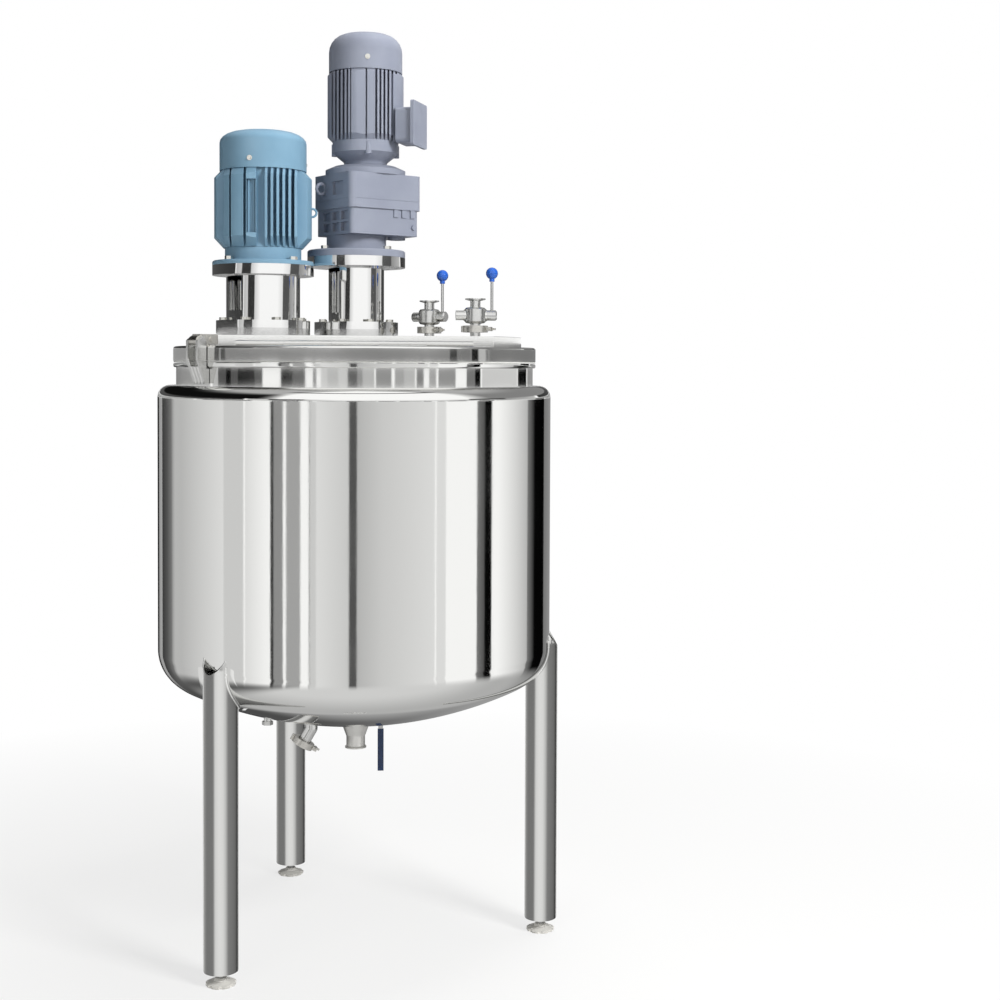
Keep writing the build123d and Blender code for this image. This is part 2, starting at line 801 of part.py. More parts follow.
def build_inlet():
    # A short neck under the jacket that turns outwards to a clamped, blanked ferrule
    offset = vessel_wall + jacket_gap + jacket_wall
    z_neck = dish_bottom(offset, abs(inlet_x)) + 4
    inner = inlet_radius - inlet_wall
    turn = Pos(inlet_x, inlet_y, z_neck - inlet_drop)
    lean = turn * Rot(0, inlet_tilt, 0)
    upper = Cylinder(inlet_radius, inlet_drop + jacket_gap / 2, align=up)
    lower = Pos(0, 0, -inlet_leg) * Cylinder(inlet_radius, inlet_leg, align=up)
    body = turn * upper + turn * Sphere(inlet_radius) + lean * lower
    body += lean * (Pos(0, 0, -inlet_leg) * ferrule(inlet_radius - 0.01, 0.0, 0.0))
    bore = Cylinder(inner, inlet_drop + jacket_gap, align=up)
    hollow = turn * bore + turn * Sphere(inner)
    hollow += lean * Pos(0, 0, -inlet_leg - 1) * Cylinder(inner, inlet_leg + 1, align=up)
    neck = body - hollow
    lip = inlet_radius + ferrule_lip
    cap = lean * Pos(0, 0, -inlet_leg) * (Rot(180, 0, 0) * ferrule(inlet_radius - 0.01, 0.0, 0.0))
    clamps.append(lean * Pos(0, 0, -inlet_leg) * clamp_ring(lip, inlet_radius, ferrule_height))
    return [neck, cap]


def clamp_ring(lip, neck, half_height):
    # A hinged clamp: a grooved ring, a hinge knuckle on one side and a bolt on the other
    gap = clamp_groove_gap
    outer = lip + 6
    rim = half_height * ferrule_edge_share + gap
    profile = [(neck + 2, -half_height - 2), (outer, -half_height - 2), (outer, half_height + 2),
               (neck + 2, half_height + 2), (neck + 2, half_height - 0.4), (lip + gap, rim),
               (lip + gap, -rim), (neck + 2, -half_height + 0.4)]
    band = turned(profile)
    band -= Pos(outer, 0, 0) * Box(2 * (outer - neck), 3, 4 * half_height)
    ears = Pos(outer + 4, 0, 0) * Box(14, 15, 1.6 * half_height)
    ears -= Pos(outer + 4, 0, 0) * Box(30, 3, 4 * half_height)
    trim = Cylinder(lip + 3, 6 * half_height)
    band += ears - trim
    knuckle = Pos(-outer - 1, 0, 0) * Cylinder(4.5, 2 * half_height + 3)
    band += knuckle - trim
    bolt_x = outer + 6
    shank = Pos(bolt_x, 0, 0) * Rot(90, 0, 0) * Cylinder(2.5, 26)
    nut = Pos(bolt_x, 11, 0) * Rot(90, 0, 0) * Cylinder(5, 7)
    wings = Pos(bolt_x, 12, 0) * Box(24, 4, 5)
    return band + shank + nut + wings


def drain_pipe():
    top = dish_bottom(vessel_wall + jacket_gap + jacket_wall, math.hypot(drain_x, drain_y))
    return ring(drain_pipe_radius, drain_bore, drain_body_top_z, top + jacket_gap / 2, drain_x, drain_y)


def build_drain():
    # The jacket's drain: a ball valve on its pipe and a flat lever that hangs down
    z0 = drain_body_top_z - drain_body_height
    zc = drain_body_top_z - drain_body_height / 2
    hex_seat = drain_hex_height - 1
    body = rod(drain_body_radius, z0 + hex_seat, drain_body_top_z - hex_seat)
    body += hexagon(drain_hex_flats, z0, z0 + drain_hex_height)
    body += hexagon(drain_hex_flats, drain_body_top_z - drain_hex_height, drain_body_top_z)
    boss_reach = drain_body_radius + drain_boss_step
    body += Pos(0, 0, zc) * Rot(90, 0, 0) * Cylinder(drain_boss_radius, boss_reach, align=up)
    ball_radius = drain_bore + drain_ball_step
    body -= Pos(0, 0, zc) * Sphere(ball_radius + ball_gap)
    body -= rod(drain_bore, z0 - 1, drain_body_top_z + 1)
    stem_bore = Cylinder(drain_stem_radius + running_fit, boss_reach + 1, align=up)
    body -= Pos(0, 0, zc) * Rot(90, 0, 0) * stem_bore
    place = Pos(drain_x, drain_y, 0)
    nodes["drain_valve_body"] = place * body
    ball = Pos(0, 0, zc) * Sphere(ball_radius) - rod(drain_bore, zc - 2 * ball_radius, zc + 2 * ball_radius)
    stem_reach = boss_reach + weld_gap + drain_lever_sheet
    root = drain_bore + 2
    stem = Pos(0, -root, zc) * Rot(90, 0, 0) * Cylinder(drain_stem_radius, stem_reach - root, align=up)
    ball = ball + stem
    y0 = -boss_reach - weld_gap
    hanging = (Align.CENTER, Align.MAX, Align.MAX)
    blade = Box(drain_lever_width, drain_lever_sheet, drain_lever_length, align=hanging)
    head = Rot(90, 0, 0) * Cylinder(drain_boss_radius, drain_lever_sheet, align=up)
    lever = Pos(0, y0, zc) * (blade + head)
    hole = Cylinder(drain_stem_radius + running_fit, 2 * boss_reach, align=up)
    lever -= Pos(0, 0, zc) * Rot(90, 0, 0) * hole
    nut = extrude(RegularPolygon(drain_nut_radius, 6), drain_nut_height)
    nut = Pos(0, y0 - drain_lever_sheet, zc) * Rot(90, 0, 0) * nut
    nodes["drain_lever"] = group([lever, nut, ball], place)
    wall = drain_grip_wall
    grip = Box(drain_lever_width + 2 * wall, drain_lever_sheet + 2 * wall, drain_grip_length + wall,
               align=(Align.CENTER, Align.CENTER, Align.MIN))
    grip = fillet(grip.edges().filter_by(Axis.Z), wall)
    low = zc - drain_lever_length - wall
    grip = Pos(0, y0 - drain_lever_sheet / 2, low) * grip
    nodes["drain_lever_grip"] = place * (grip - Pos(0, y0, zc) * blade)


def build_lid_valves():
    z_pipe = bridge_top_z + nozzle_height
    inner = pipe_radius - pipe_wall
    lip = clamp_ferrule_radius
    half = lid_clamp_half
    z_low = z_pipe + valve_neck
    z_mid = z_low + valve_body_height / 2
    z_high = z_low + valve_body_height
    z_end = z_high + valve_neck + 8
    nozzles = []
    bodies = []
    for number, (x, y, yaw) in enumerate(valve_places, 1):
        name = str(number)
        place = Pos(x, y, 0) * Rot(0, 0, yaw)
        nozzle = ring(pipe_radius, inner, lid_top_z - lid_sheet, z_pipe)
        nozzle += turned([(inner, z_pipe), (lip, z_pipe), (lip, z_pipe - clamp_ferrule_height),
                          (pipe_radius, z_pipe - half), (inner, z_pipe - half)])
        nozzles.append(place * nozzle)
        clamp_place = place * Pos(0, 0, z_pipe) * Rot(0, 0, lid_clamp_yaw)
        clamps.append(clamp_place * clamp_ring(lip, pipe_radius, half))
        body = turned([(inner, z_pipe), (lip, z_pipe), (lip, z_pipe + clamp_ferrule_height),
                       (pipe_radius, z_pipe + half), (pipe_radius, z_low - 2),
                       (valve_body_radius - 4, z_low), (valve_body_radius, z_low + 4),
                       (valve_body_radius, z_high - 4), (valve_body_radius - 4, z_high),
                       (pipe_radius, z_high + 2), (pipe_radius, z_end - half),
                       (lip, z_end - clamp_ferrule_height), (lip, z_end), (inner, z_end)])
        boss = Rot(0, 90, 0) * Cylinder(valve_boss_radius, 2 * valve_boss_reach)
        cap = Pos(-valve_boss_reach, 0, 0) * Rot(0, -90, 0) * Cylinder(valve_boss_radius - 2, 20, align=up)
        body += Pos(0, 0, z_mid) * (boss + cap)
        body -= Pos(0, 0, z_mid) * Sphere(valve_ball_radius + ball_gap)
        body -= rod(inner, z_pipe - 1, z_end + 1)
        stem_bore = Rot(0, 90, 0) * Cylinder(valve_stem_radius + running_fit, valve_boss_reach + 1, align=up)
        body -= Pos(0, 0, z_mid) * stem_bore
        bodies.append(place * body)
        ball = Sphere(valve_ball_radius) - Cylinder(inner, 60)
        hub_x = valve_boss_reach + weld_gap
        root = inner + 2
        stem = Rot(0, 90, 0) * Cylinder(valve_stem_radius, hub_x + lever_hub_length - 6 - root, align=up)
        ball += Pos(root, 0, 0) * stem
        hub = Pos(hub_x, 0, 0) * Rot(0, 90, 0) * Cylinder(lever_hub_radius, lever_hub_length, align=up)
        hub = chamfer(hub.edges().sort_by(Axis.X)[-1], 3)
        hub -= Pos(hub_x - 1, 0, 0) * Rot(0, 90, 0) * Cylinder(valve_stem_radius + running_fit,
                                                                lever_hub_length - 5, align=up)
        rod_x = hub_x + lever_hub_length / 2
        arm = Cylinder(lever_rod_radius, lever_length - lever_hub_radius - 4, align=up)
        arm = Pos(rod_x, 0, lever_hub_radius - 2) * arm
        middle = place * Pos(0, 0, z_mid)
        nodes["lid_valve_lever_" + name] = group([hub + arm, ball], middle)
        collar = Pos(0, 0, -knob_radius - 1.5) * Cylinder(6.5, 8)
        knob = Pos(rod_x, 0, lever_length) * (Sphere(knob_radius) + collar) - arm
        nodes["lid_valve_knob_" + name] = middle * knob
    nodes["lid_nozzles"] = group(nozzles)
    nodes["lid_valve_bodies"] = group(bodies)
    nodes["tri_clamps"] = group(clamps)


def build_lid_clamp():
    # A bracket on the neck carries an arm that swings up and outwards about a tangential pin
    turn = Rot(0, 0, lid_clamp_angle)
    seat_r = clamp_pin_circle
    across = Rot(90, 0, 0)
    width = clamp_arm_width + 2 * clamp_ear_sheet
    low = clamp_bracket_top_z - clamp_bracket_height
    ear = clamp_pin_radius + 7
    # The bracket's side view: a foot on the neck that widens up to the pin's ears
    side = Polyline([(vessel_outer + weld_gap, 0, low), (vessel_outer + clamp_foot, 0, low),
                     (seat_r + ear, 0, clamp_bracket_top_z - 20), (seat_r + ear, 0, clamp_pin_z),
                     (seat_r - 4, 0, clamp_pin_z + ear), (rim_radius + 1.0, 0, clamp_pin_z - 4),
                     (rim_radius + 1.0, 0, rim_under_z - 3), (vessel_outer + weld_gap, 0, rim_under_z - 3)],
                    close=True)
    bracket = extrude(make_face(side), width / 2, both=True)
    slot = Box(4 * clamp_arm_length, clamp_arm_width, 2 * clamp_bracket_height, align=up)
    bracket -= Pos(seat_r, 0, rim_under_z + 2) * slot
    pin_bore = Pos(seat_r, 0, clamp_pin_z) * across * Cylinder(clamp_pin_radius, 2 * width)
    bracket -= pin_bore
    # Flutes run up the bracket's sloping outer face
    foot_x = vessel_outer + clamp_foot
    slope = math.degrees(math.atan2(seat_r + ear - foot_x, clamp_bracket_height - 20))
    for y in (-flute_pitch, 0, flute_pitch):
        flute = Pos(foot_x, y, low) * Rot(0, slope, 0) * Pos(2, 0, -20)
        bracket -= flute * Cylinder(flute_radius, 2 * clamp_bracket_height, align=up)
    nodes["clamp_bracket"] = turn * bracket
    pins.append(turn * (Pos(seat_r, 0, clamp_pin_z) * across * Cylinder(clamp_pin_radius, width + 4)))
    nodes["hinge_pins"] = group(pins)
    tip = seat_r - clamp_arm_length
    arm_low = lid_top_z + clamp_arm_lift
    arm_width = clamp_arm_width - clamp_arm_fit
    bar = Box(clamp_arm_length, arm_width, clamp_arm_height, align=up)
    arm = Pos((seat_r + tip) / 2, 0, arm_low) * bar
    arm += Pos(seat_r, 0, clamp_pin_z) * across * Cylinder(ear - 1, arm_width)
    arm -= Pos(seat_r, 0, clamp_pin_z) * across * Cylinder(clamp_pin_radius + running_fit, 2 * width)
    heel = Box(2 * ear, 2 * width, 30 - clamp_pin_radius - 5, align=up)
    arm -= Pos(seat_r + ear, 0, clamp_pin_z - 30) * heel
    inner_x = tip + 14
    middle = Pos(inner_x, 0, arm_low + clamp_arm_height / 2) * across
    arm -= middle * Cylinder(clamp_pin_radius + 1, 2 * width)
    cross = middle * Cylinder(clamp_pin_radius + 1, clamp_arm_width + 6)
    pad = Pos(inner_x + 4, 0, lid_top_z) * Cylinder(clamp_pad_radius, arm_low - lid_top_z, align=up)
    nodes["clamp_arm"] = group([arm, cross, pad], turn)


def build_shear_motor():
    z_flange = shear_lantern_top_z
    z_neck = z_flange + shear_flange_height
    z_frame = z_neck + shear_neck_height
    z_top = z_frame + shear_frame_height
    place = Pos(shear_x, shear_y, 0)
    bore = motor_shaft_radius + shaft_hole_gap
    flange = ring(shear_flange_radius, bore, z_flange, z_neck)
    flange = chamfer(flange.edges().group_by(Axis.Z)[-1].sort_by(SortBy.LENGTH)[-1], flange_edge)
    for bx, by in around(top_bolt_count, top_bolt_circle, top_bolt_start):
        flange -= rod(top_bolt_radius + bolt_clearance, z_flange - 1, z_neck + 1, bx, by)
    neck = rod(shear_neck_radius, z_neck, z_frame)
    # Pockets in the neck leave room for the flange bolts
    for bx, by in around(top_bolt_count, top_bolt_circle, top_bolt_start):
        neck -= rod(top_bolt_flats * shear_pocket_share, z_neck, z_frame - shear_pocket_floor, bx, by)
    flange = flange + neck - rod(bore, z_flange - 1, z_frame + 1)
    nodes["shear_motor_flange"] = place * flange
    fins = [(shear_fin_pitch * (k + 1), shear_fin_sheet) for k in range(shear_fin_count)]
    frame = finned_frame(shear_core_radius, shear_fin_radius, shear_pad_radius, shear_pad_width, fins,
                         shear_front_pads, shear_frame_height, shear_frame_taper)
    frame = Pos(0, 0, z_frame) * frame
    frame -= rod(bore, z_frame - 1, z_top + 1)
    # The boss column at the front holds the long tie bolt between two lugs
    z_slot = z_frame + shear_frame_height * tie_bolt_low_share
    tall = shear_frame_height * tie_bolt_tall_share
    slot = Box(tie_bolt_slot, tie_bolt_slot_depth, tall, align=up)
    frame -= Pos(tie_bolt_x, -shear_fin_radius, z_slot) * slot
    for x in (tie_bolt_x - tie_web_offset, tie_bolt_x + tie_web_offset):
        web = Box(tie_web_sheet, tie_web_depth, tall, align=up)
        frame += Pos(x, -shear_core_radius - 3, z_slot) * web
    eye = Rot(90, 0, 0) * Torus(shear_eye_radius, shear_eye_wire)
    eye = Pos(shear_pad_radius + shear_eye_seat, 0, z_frame + shear_frame_height * shear_eye_share) * eye
    eye -= Pos(0, 0, z_frame) * Box(2 * shear_pad_radius + 0.2, 60, shear_frame_height, align=up)
    nodes["shear_motor_frame"] = group([frame, eye], place)
    cover = motor_cover(shear_cover_radius, z_top - cover_overlap, shear_cover_height,
                        shear_cover_shoulder, shear_cover_flat)
    nodes["shear_motor_cover"] = place * cover
    wheel = fan(shear_cover_radius - fan_tip_gap, z_top + fan_lift, motor_shaft_radius)
    shaft = rod(motor_shaft_radius, shear_coupling_z, z_top + shaft_above_frame)
    nodes["shear_motor_rotor"] = group([wheel, shaft], place)
    for angle in cover_screw_angles:
        screws.append(place * cover_screw(shear_cover_radius, angle, z_top + cover_screw_lift))


def cover_curve(radius, flat, z1, shoulder):
    # A quarter ellipse from the skirt in to the flat end
    turns = [math.pi / 2 * k / cover_round_steps for k in range(cover_round_steps + 1)]
    reach = radius - flat
    return [(flat + reach * math.cos(t), z1 - shoulder + shoulder * math.sin(t)) for t in turns]


def motor_cover(radius, z0, height, shoulder, flat):
    # A pressed fan cover: a straight skirt, a round shoulder and a flat grilled end
    z1 = z0 + height
    wall = cover_wall
    outline = turned([(0, z0), (radius, z0)] + cover_curve(radius, flat, z1, shoulder) + [(0, z1)])
    inside = turned([(0, z0 - 1), (radius - wall, z0 - 1)]
                    + cover_curve(radius - wall, flat, z1 - wall, shoulder - wall) + [(0, z1 - wall)])
    cover = outline - inside
    for ring_share, count in zip(grille_ring_shares, grille_hole_counts):
        for x, y in around(count, ring_share * flat):
            cover -= rod(grille_hole_radius, z1 - 2 * wall, z1 + 1, x, y)
    return cover


def fan(tip, z0, shaft):
    root = shaft + fan_hub_wall - 2
    hub = ring(shaft + fan_hub_wall, shaft + running_fit, z0, z0 + fan_height)
    plate = ring(tip * fan_plate_share, root, z0, z0 + fan_sheet)
    blades = []
    for k in range(fan_blade_count):
        blade = Pos((tip + root) / 2, 0, z0) * Box(tip - root, fan_sheet, fan_height, align=up)
        blades.append(Rot(0, 0, 360.0 * k / fan_blade_count) * blade)
    return hub + plate + joined(blades)


def cover_screw(radius, angle, z):
    place = Rot(0, 0, angle) * Pos(radius + 0.1, 0, z) * Rot(0, 90, 0)
    washer = Cylinder(screw_washer_radius, screw_washer_height, align=up)
    return place * (washer + Cylinder(screw_head_radius, screw_head_height, align=up))


def build_gear_drive():
    z_flange = gear_lantern_top_z
    z_neck = z_flange + gear_flange_height
    z_case = z_neck + gear_neck_height
    z_case_top = z_case + gear_case_height
    bore = agitator_shaft_radius + shaft_case_gap
    flange = ring(gear_flange_radius, bore, z_flange, z_neck)
    flange = chamfer(flange.edges().group_by(Axis.Z)[-1].sort_by(SortBy.LENGTH)[-1], flange_edge)
    for bx, by in around(top_bolt_count, top_bolt_circle, top_bolt_start):
        flange -= rod(top_bolt_radius + bolt_clearance, z_flange - 1, z_neck + 1, bx, by)
    flange += rod(gear_neck_radius, z_neck, z_case)
    nodes["gear_output_flange"] = flange - rod(bore, z_flange - 1, z_case + 1)
    step = 2 * gear_case_step
    lower = RectangleRounded(gear_case_width - step, gear_case_depth - step, gear_case_lower_corner)
    upper = RectangleRounded(gear_case_width, gear_case_depth, gear_case_upper_corner)
    case = extrude(lower, gear_case_lower)
    case += Pos(0, 0, gear_case_lower) * extrude(upper, gear_case_height - gear_case_lower)
    seam = Box(2 * gear_case_width, 2 * gear_case_depth, gear_seam_width)
    seam -= Box(gear_case_width - 2 * gear_seam_depth, gear_case_depth - 2 * gear_seam_depth, gear_case_lower)
    case -= Pos(0, 0, gear_case_lower + gear_seam_rise) * seam
    # Three short ribs under the step and a round oil plug mark the front face
    front = -gear_case_depth / 2 + gear_case_step
    for x in rib_places:
        rib = Box(rib_width, rib_depth, rib_height, align=up)
        case += Pos(x, front, gear_case_lower + 1 - rib_height) * rib
    plug = Cylinder(oil_plug_radius, oil_plug_height, align=up)
    case += Pos(oil_plug_x, front, oil_plug_z) * Rot(90, 0, 0) * plug
    # The left face is a ribbed casting: pockets between crossing webs
    left = -gear_case_width / 2
    for y in pocket_places:
        for z in pocket_levels:
            pocket = Box(pocket_depth, pocket_width, pocket_height, align=up)
            case -= Pos(left + gear_case_step, y, z) * pocket
    case -= Pos(left, -30, gear_case_lower + 34) * Box(16, 50, 34, align=up)
    case_place = Pos(gear_offset_x + gear_case_shift, 0, z_case) * Rot(0, 0, gear_case_yaw)
    case = case_place * case
    foot = Pos(103, 0, z_case - 8) * Cylinder(22, 8.0, align=up)
    case = case + foot
    case -= rod(bore, z_case - 1, z_case + 30)
    eye = Pos(left - 10.3, 34, gear_case_height - 36) * Rot(0, 30, 0) * Rot(90, 0, 0) * Torus(13, 4)
    eye -= Pos(left + 20 - 0.3, 34, gear_case_height - 36) * Box(40, 60, 80)
    nodes["gear_case"] = group([case, case_place * eye])
    mx = gear_offset_x
    z_adapter = z_case_top
    z_bell = z_adapter + adapter_height
    adapter = turned([(0, z_adapter), (adapter_radius, z_adapter), (adapter_radius, z_adapter + 14),
                      (adapter_radius * 0.78, z_adapter + 24), (bell_neck_radius, z_bell), (0, z_bell)])
    motor_bore = motor_shaft_radius + shaft_hole_gap
    adapter -= rod(motor_bore, z_adapter + 8, z_bell + 1)
    nodes["motor_adapter"] = Pos(mx, 0, 0) * adapter
    z_stator = z_bell + bell_height
    bell = turned([(0, z_bell), (bell_neck_radius, z_bell), (bell_neck_radius + 3, z_bell + 8),
                   (bell_radius - 6, z_bell + 26), (bell_radius, z_bell + 30), (bell_radius, z_stator),
                   (0, z_stator)])
    for bx, by in around(bell_bolt_count, bell_radius - 6, bell_bolt_start):
        bell += rod(bell_bolt_boss, z_bell + 22, z_stator - 6, bx, by)
    nodes["motor_bell"] = Pos(mx, 0, 0) * (bell - rod(motor_bore, z_bell - 1, z_stator + 1))
    fins = [(x, stator_fin_sheet) for x in stator_left_fins + stator_right_fins]
    frame = finned_frame(stator_core_radius, stator_fin_radius, stator_pad_radius, stator_pad_width, fins,
                         stator_front_pads, stator_height, stator_taper)
    frame = Pos(0, 0, z_stator) * frame
    # The terminal box stands on a seat turned a little to the front
    seat = Box(stator_pad_radius, terminal_seat_width, stator_height - 2 * stator_taper, align=up)
    seat = Pos(stator_pad_radius / 2, 0, z_stator + stator_taper) * seat
    frame += (Rot(0, 0, terminal_yaw) * seat) & rod(stator_pad_radius, z_stator, z_stator + stator_height)
    frame -= rod(motor_bore, z_stator - 1, z_stator + stator_height + 1)
    nodes["motor_frame"] = Pos(mx, 0, 0) * frame
    box_x = stator_pad_radius
    box_place = Pos(mx, 0, 0) * Rot(0, 0, terminal_yaw)
    z_box = z_stator - terminal_box_drop
    base = Pos(box_x, 0, z_box) * Box(terminal_box_reach, terminal_box_width, terminal_box_height,
                                      align=(Align.MIN, Align.CENTER, Align.MIN))
    base = fillet(base.edges().filter_by(Axis.X), terminal_box_corner)
    nodes["terminal_box"] = box_place * base
    outwards = (Align.MIN, Align.CENTER, Align.MIN)
    lid = Box(terminal_lid_sheet, terminal_box_width + 2 * terminal_lid_overhang,
              terminal_box_height + terminal_lid_rise, align=outwards)
    lid = fillet(lid.edges().filter_by(Axis.X), terminal_lid_corner)
    lid = Pos(box_x + terminal_box_reach, 0, z_box - terminal_lid_overhang) * lid
    nodes["terminal_box_lid"] = box_place * lid
    z_top = z_stator + stator_height
    cover = motor_cover(gear_cover_radius, z_top - cover_overlap, gear_cover_height,
                        gear_cover_shoulder, gear_cover_flat)
    nodes["motor_cover"] = Pos(mx, 0, 0) * cover
    wheel = fan(gear_cover_radius - fan_tip_gap, z_top + fan_lift, motor_shaft_radius)
    shaft = rod(motor_shaft_radius, z_adapter + 10, z_top + shaft_above_frame)
    nodes["motor_rotor"] = group([wheel, shaft], Pos(mx, 0, 0))
    for angle in gear_screw_angles:
        screws.append(Pos(mx, 0, 0) * cover_screw(gear_cover_radius, angle, z_top + gear_screw_lift))
    nodes["fan_cover_screws"] = group(screws)


def coupling(radius, z_mid):
    # Two hubs with a flexible spider between them
    wall = radius + coupling_wall
    low = ring(wall, radius + running_fit, z_mid - coupling_height / 2, z_mid - 6)
    high = ring(wall, radius + running_fit, z_mid + 6, z_mid + coupling_height / 2)
    spider = ring(wall - 2, radius + 1, z_mid - 6, z_mid + 6)
    return [low, high, spider]


def shaft_seal(radius, shaft, z_low):
    # A sleeve in the mounting disc with a gland above it, bored for the turning shaft
    z_disc = bridge_top_z + mount_disc_height
    sleeve = ring(radius - 0.2, shaft + running_fit, z_low, z_disc)
    return sleeve + ring(radius - gland_step, shaft + running_fit, z_disc, flange_top_z + gland_rise)


def build_lanterns():
    shear = (shear_x, shear_y)
    centre = (0.0, 0.0)
    nodes["mount_discs"] = group([mount_disc(shear, lantern_base_radius, shear_seal_radius, base_bolt_circle),
                                  mount_disc(centre, gear_base_radius, seal_radius, gear_bolt_circle)])
    nodes["shear_lantern"] = lantern(shear, lantern_base_radius, shear_lantern_radius, shear_lantern_top_z,
                                     base_bolt_circle, shear_windows)
    nodes["agitator_lantern"] = lantern(centre, gear_base_radius, gear_lantern_radius, gear_lantern_top_z,
                                        gear_bolt_circle, gear_windows)
    nodes["lantern_bolts"] = group(base_bolts(shear, base_bolt_circle) + base_bolts(centre, gear_bolt_circle)
                                   + top_bolts(shear, shear_lantern_top_z, shear_flange_height)
                                   + top_bolts(centre, gear_lantern_top_z, gear_flange_height))
    shear_seal = Pos(shear_x, shear_y, 0) * shaft_seal(shear_seal_radius, shear_shaft_radius, lid_top_z)
    nodes["shaft_seals"] = group([shaft_seal(seal_radius, agitator_shaft_radius, lid_under_z), shear_seal])


def anchor_arms():
    # Flat arms that follow the wall and the dish at a steady gap down to the hub
    reach = vessel_radius - anchor_wall_gap
    edges = dish_curves(-anchor_wall_gap, anchor_top_z)
    edges.append(Line((0, 0, dish_bottom(-anchor_wall_gap)), (0, 0, anchor_top_z)))
    edges.append(Line((0, 0, anchor_top_z), (reach, 0, anchor_top_z)))
    inner = reach - anchor_arm_width
    offset = -anchor_wall_gap - anchor_arm_width
    over = anchor_top_z + anchor_arm_width
    middle = (inner / 2, 0, dish_bottom(offset, inner / 2))
    corner = (inner, 0, dish_bottom(offset, inner))
    hollow = make_face([
        ThreePointArc((0, 0, dish_bottom(offset)), middle, corner),
        Line(corner, (inner, 0, over)),
        Line((inner, 0, over), (0, 0, over)),
        Line((0, 0, over), (0, 0, dish_bottom(offset))),
    ])
    half = extrude(make_face(edges), anchor_arm_sheet / 2, both=True)
    half -= extrude(hollow, anchor_arm_sheet, both=True)
    inside_edge = half.edges().filter_by(Axis.Y).sort_by_distance(corner)[0]
    half = fillet(inside_edge, anchor_arm_width * anchor_corner_share)
    return half + mirror(half, Plane.YZ)


def build_agitator():
    z_low = dish_bottom(-anchor_wall_gap)
    hub_top = z_low + anchor_hub_height
    hub = rod(anchor_hub_radius, z_low + 4, hub_top)
    frame = anchor_arms() + hub
    shaft_low = z_low + anchor_shaft_seat
    frame -= rod(agitator_shaft_radius, shaft_low, hub_top + 1)
    nodes["anchor_frame"] = frame
    shaft = rod(agitator_shaft_radius, shaft_low, gear_coupling_z)
    z_end = gear_lantern_top_z + gear_flange_height + gear_neck_height + agitator_shaft_end
    nodes["agitator_shaft"] = group([shaft, rod(agitator_shaft_radius, gear_coupling_z, z_end)])
    nodes["agitator_coupling"] = group(coupling(agitator_shaft_radius, gear_coupling_z))
    blades = []
    pitch = (anchor_top_z - dish_tangent_z - scraper_field_trim) / scraper_count
    for side in (-1, 1):
        for k in range(scraper_count):
            z = dish_tangent_z + scraper_first_z + k * pitch + (pitch / 2 if side > 0 else 0.0)
            top = min(z + scraper_height, anchor_top_z)
            x0 = vessel_radius - anchor_wall_gap - scraper_seat
            x1 = vessel_radius - scraper_gap
            heel = scraper_sheet * scraper_heel_share
            profile = Polyline([(x0, 0), (x1 - 6, 0), (x1, heel), (x1 - 3, scraper_sheet),
                                (x0, scraper_sheet)], close=True)
            blade = extrude(make_face(profile), top - z)
            blade = Pos(0, anchor_arm_sheet / 2, z) * blade
            blades.append(Rot(0, 0, 0 if side > 0 else 180) * blade)
    nodes["wall_scrapers"] = group(blades)


def acorn_nut(flats, height, z_seat, x, y, inner):
    # A domed nut that hangs below the face at z_seat
    dome = flats * 0.42
    nut = hexagon(flats, z_seat - height, z_seat, x, y)
    cap = Pos(x, y, z_seat - height) * Sphere(dome)
    cap -= Pos(x, y, z_seat - height) * Cylinder(2 * dome, 2 * dome, align=up)
    return nut + cap - rod(inner, z_seat - height, z_seat + 1, x, y)


def build_head():
    z_flange = head_flange_z
    z_top = z_flange + head_flange_height
    z_low = z_flange - stator_depth
    inner = stator_outer - stator_wall
    half = math.sqrt(0.5)
    outer_bend = (stator_outer + stator_fillet * (1 - half), 0, z_flange - stator_fillet * (1 - half))
    bend_top = (stator_outer + stator_fillet, 0, z_flange)
    bend_low = (stator_outer, 0, z_flange - stator_fillet)
    roof = stator_roof
    edges = [
        Line((shear_shaft_radius + bush_wall, 0, z_top), (head_flange_radius, 0, z_top)),
        Line((head_flange_radius, 0, z_top), (head_flange_radius, 0, z_flange)),
        Line((head_flange_radius, 0, z_flange), bend_top),
        ThreePointArc(bend_top, outer_bend, bend_low),
        Line(bend_low, (stator_outer, 0, z_low)),
        Line((stator_outer, 0, z_low), (inner, 0, z_low)),
        Line((inner, 0, z_low), (inner, 0, z_top - roof)),
        Line((inner, 0, z_top - roof), (shear_shaft_radius + bush_wall, 0, z_top - roof)),
        Line((shear_shaft_radius + bush_wall, 0, z_top - roof), (shear_shaft_radius + bush_wall, 0, z_top)),
    ]
    stator = revolve(make_face(edges), Axis.Z)
    slot = Box(2 * stator_wall + 4, slot_width, slot_length + 1, align=up)
    slot = Pos(stator_outer - stator_wall / 2, 0, z_low - 1) * slot
    for k in range(slot_count):
        stator -= Rot(0, 0, 360.0 * (k + 0.5) / slot_count) * slot
    rods = []
    nuts = []
    for x, y in around(rod_count, rod_circle, rod_start_angle):
        stator -= rod(rod_bolt_radius, z_flange - 1, z_top + 1, x, y)
        shank = rod(rod_bolt_radius - running_fit, z_flange - dome_nut_height, z_top, x, y)
        rods.append(rod(rod_radius, z_top, bridge_top_z, x, y) + shank)
        nuts.append(acorn_nut(dome_nut_flats, dome_nut_height, z_flange, x, y, rod_bolt_radius))
    place = Pos(shear_x, shear_y, 0)
    nodes["mixing_stator"] = place * stator
    nodes["head_rods"] = group(rods, place)
    nodes["head_dome_nuts"] = group(nuts, place)
    bush = ring(shear_shaft_radius + bush_wall, shear_shaft_radius + running_fit, z_top - bush_height, z_top)
    nodes["shaft_bush"] = place * bush
    build_rotor(place, z_low, inner)


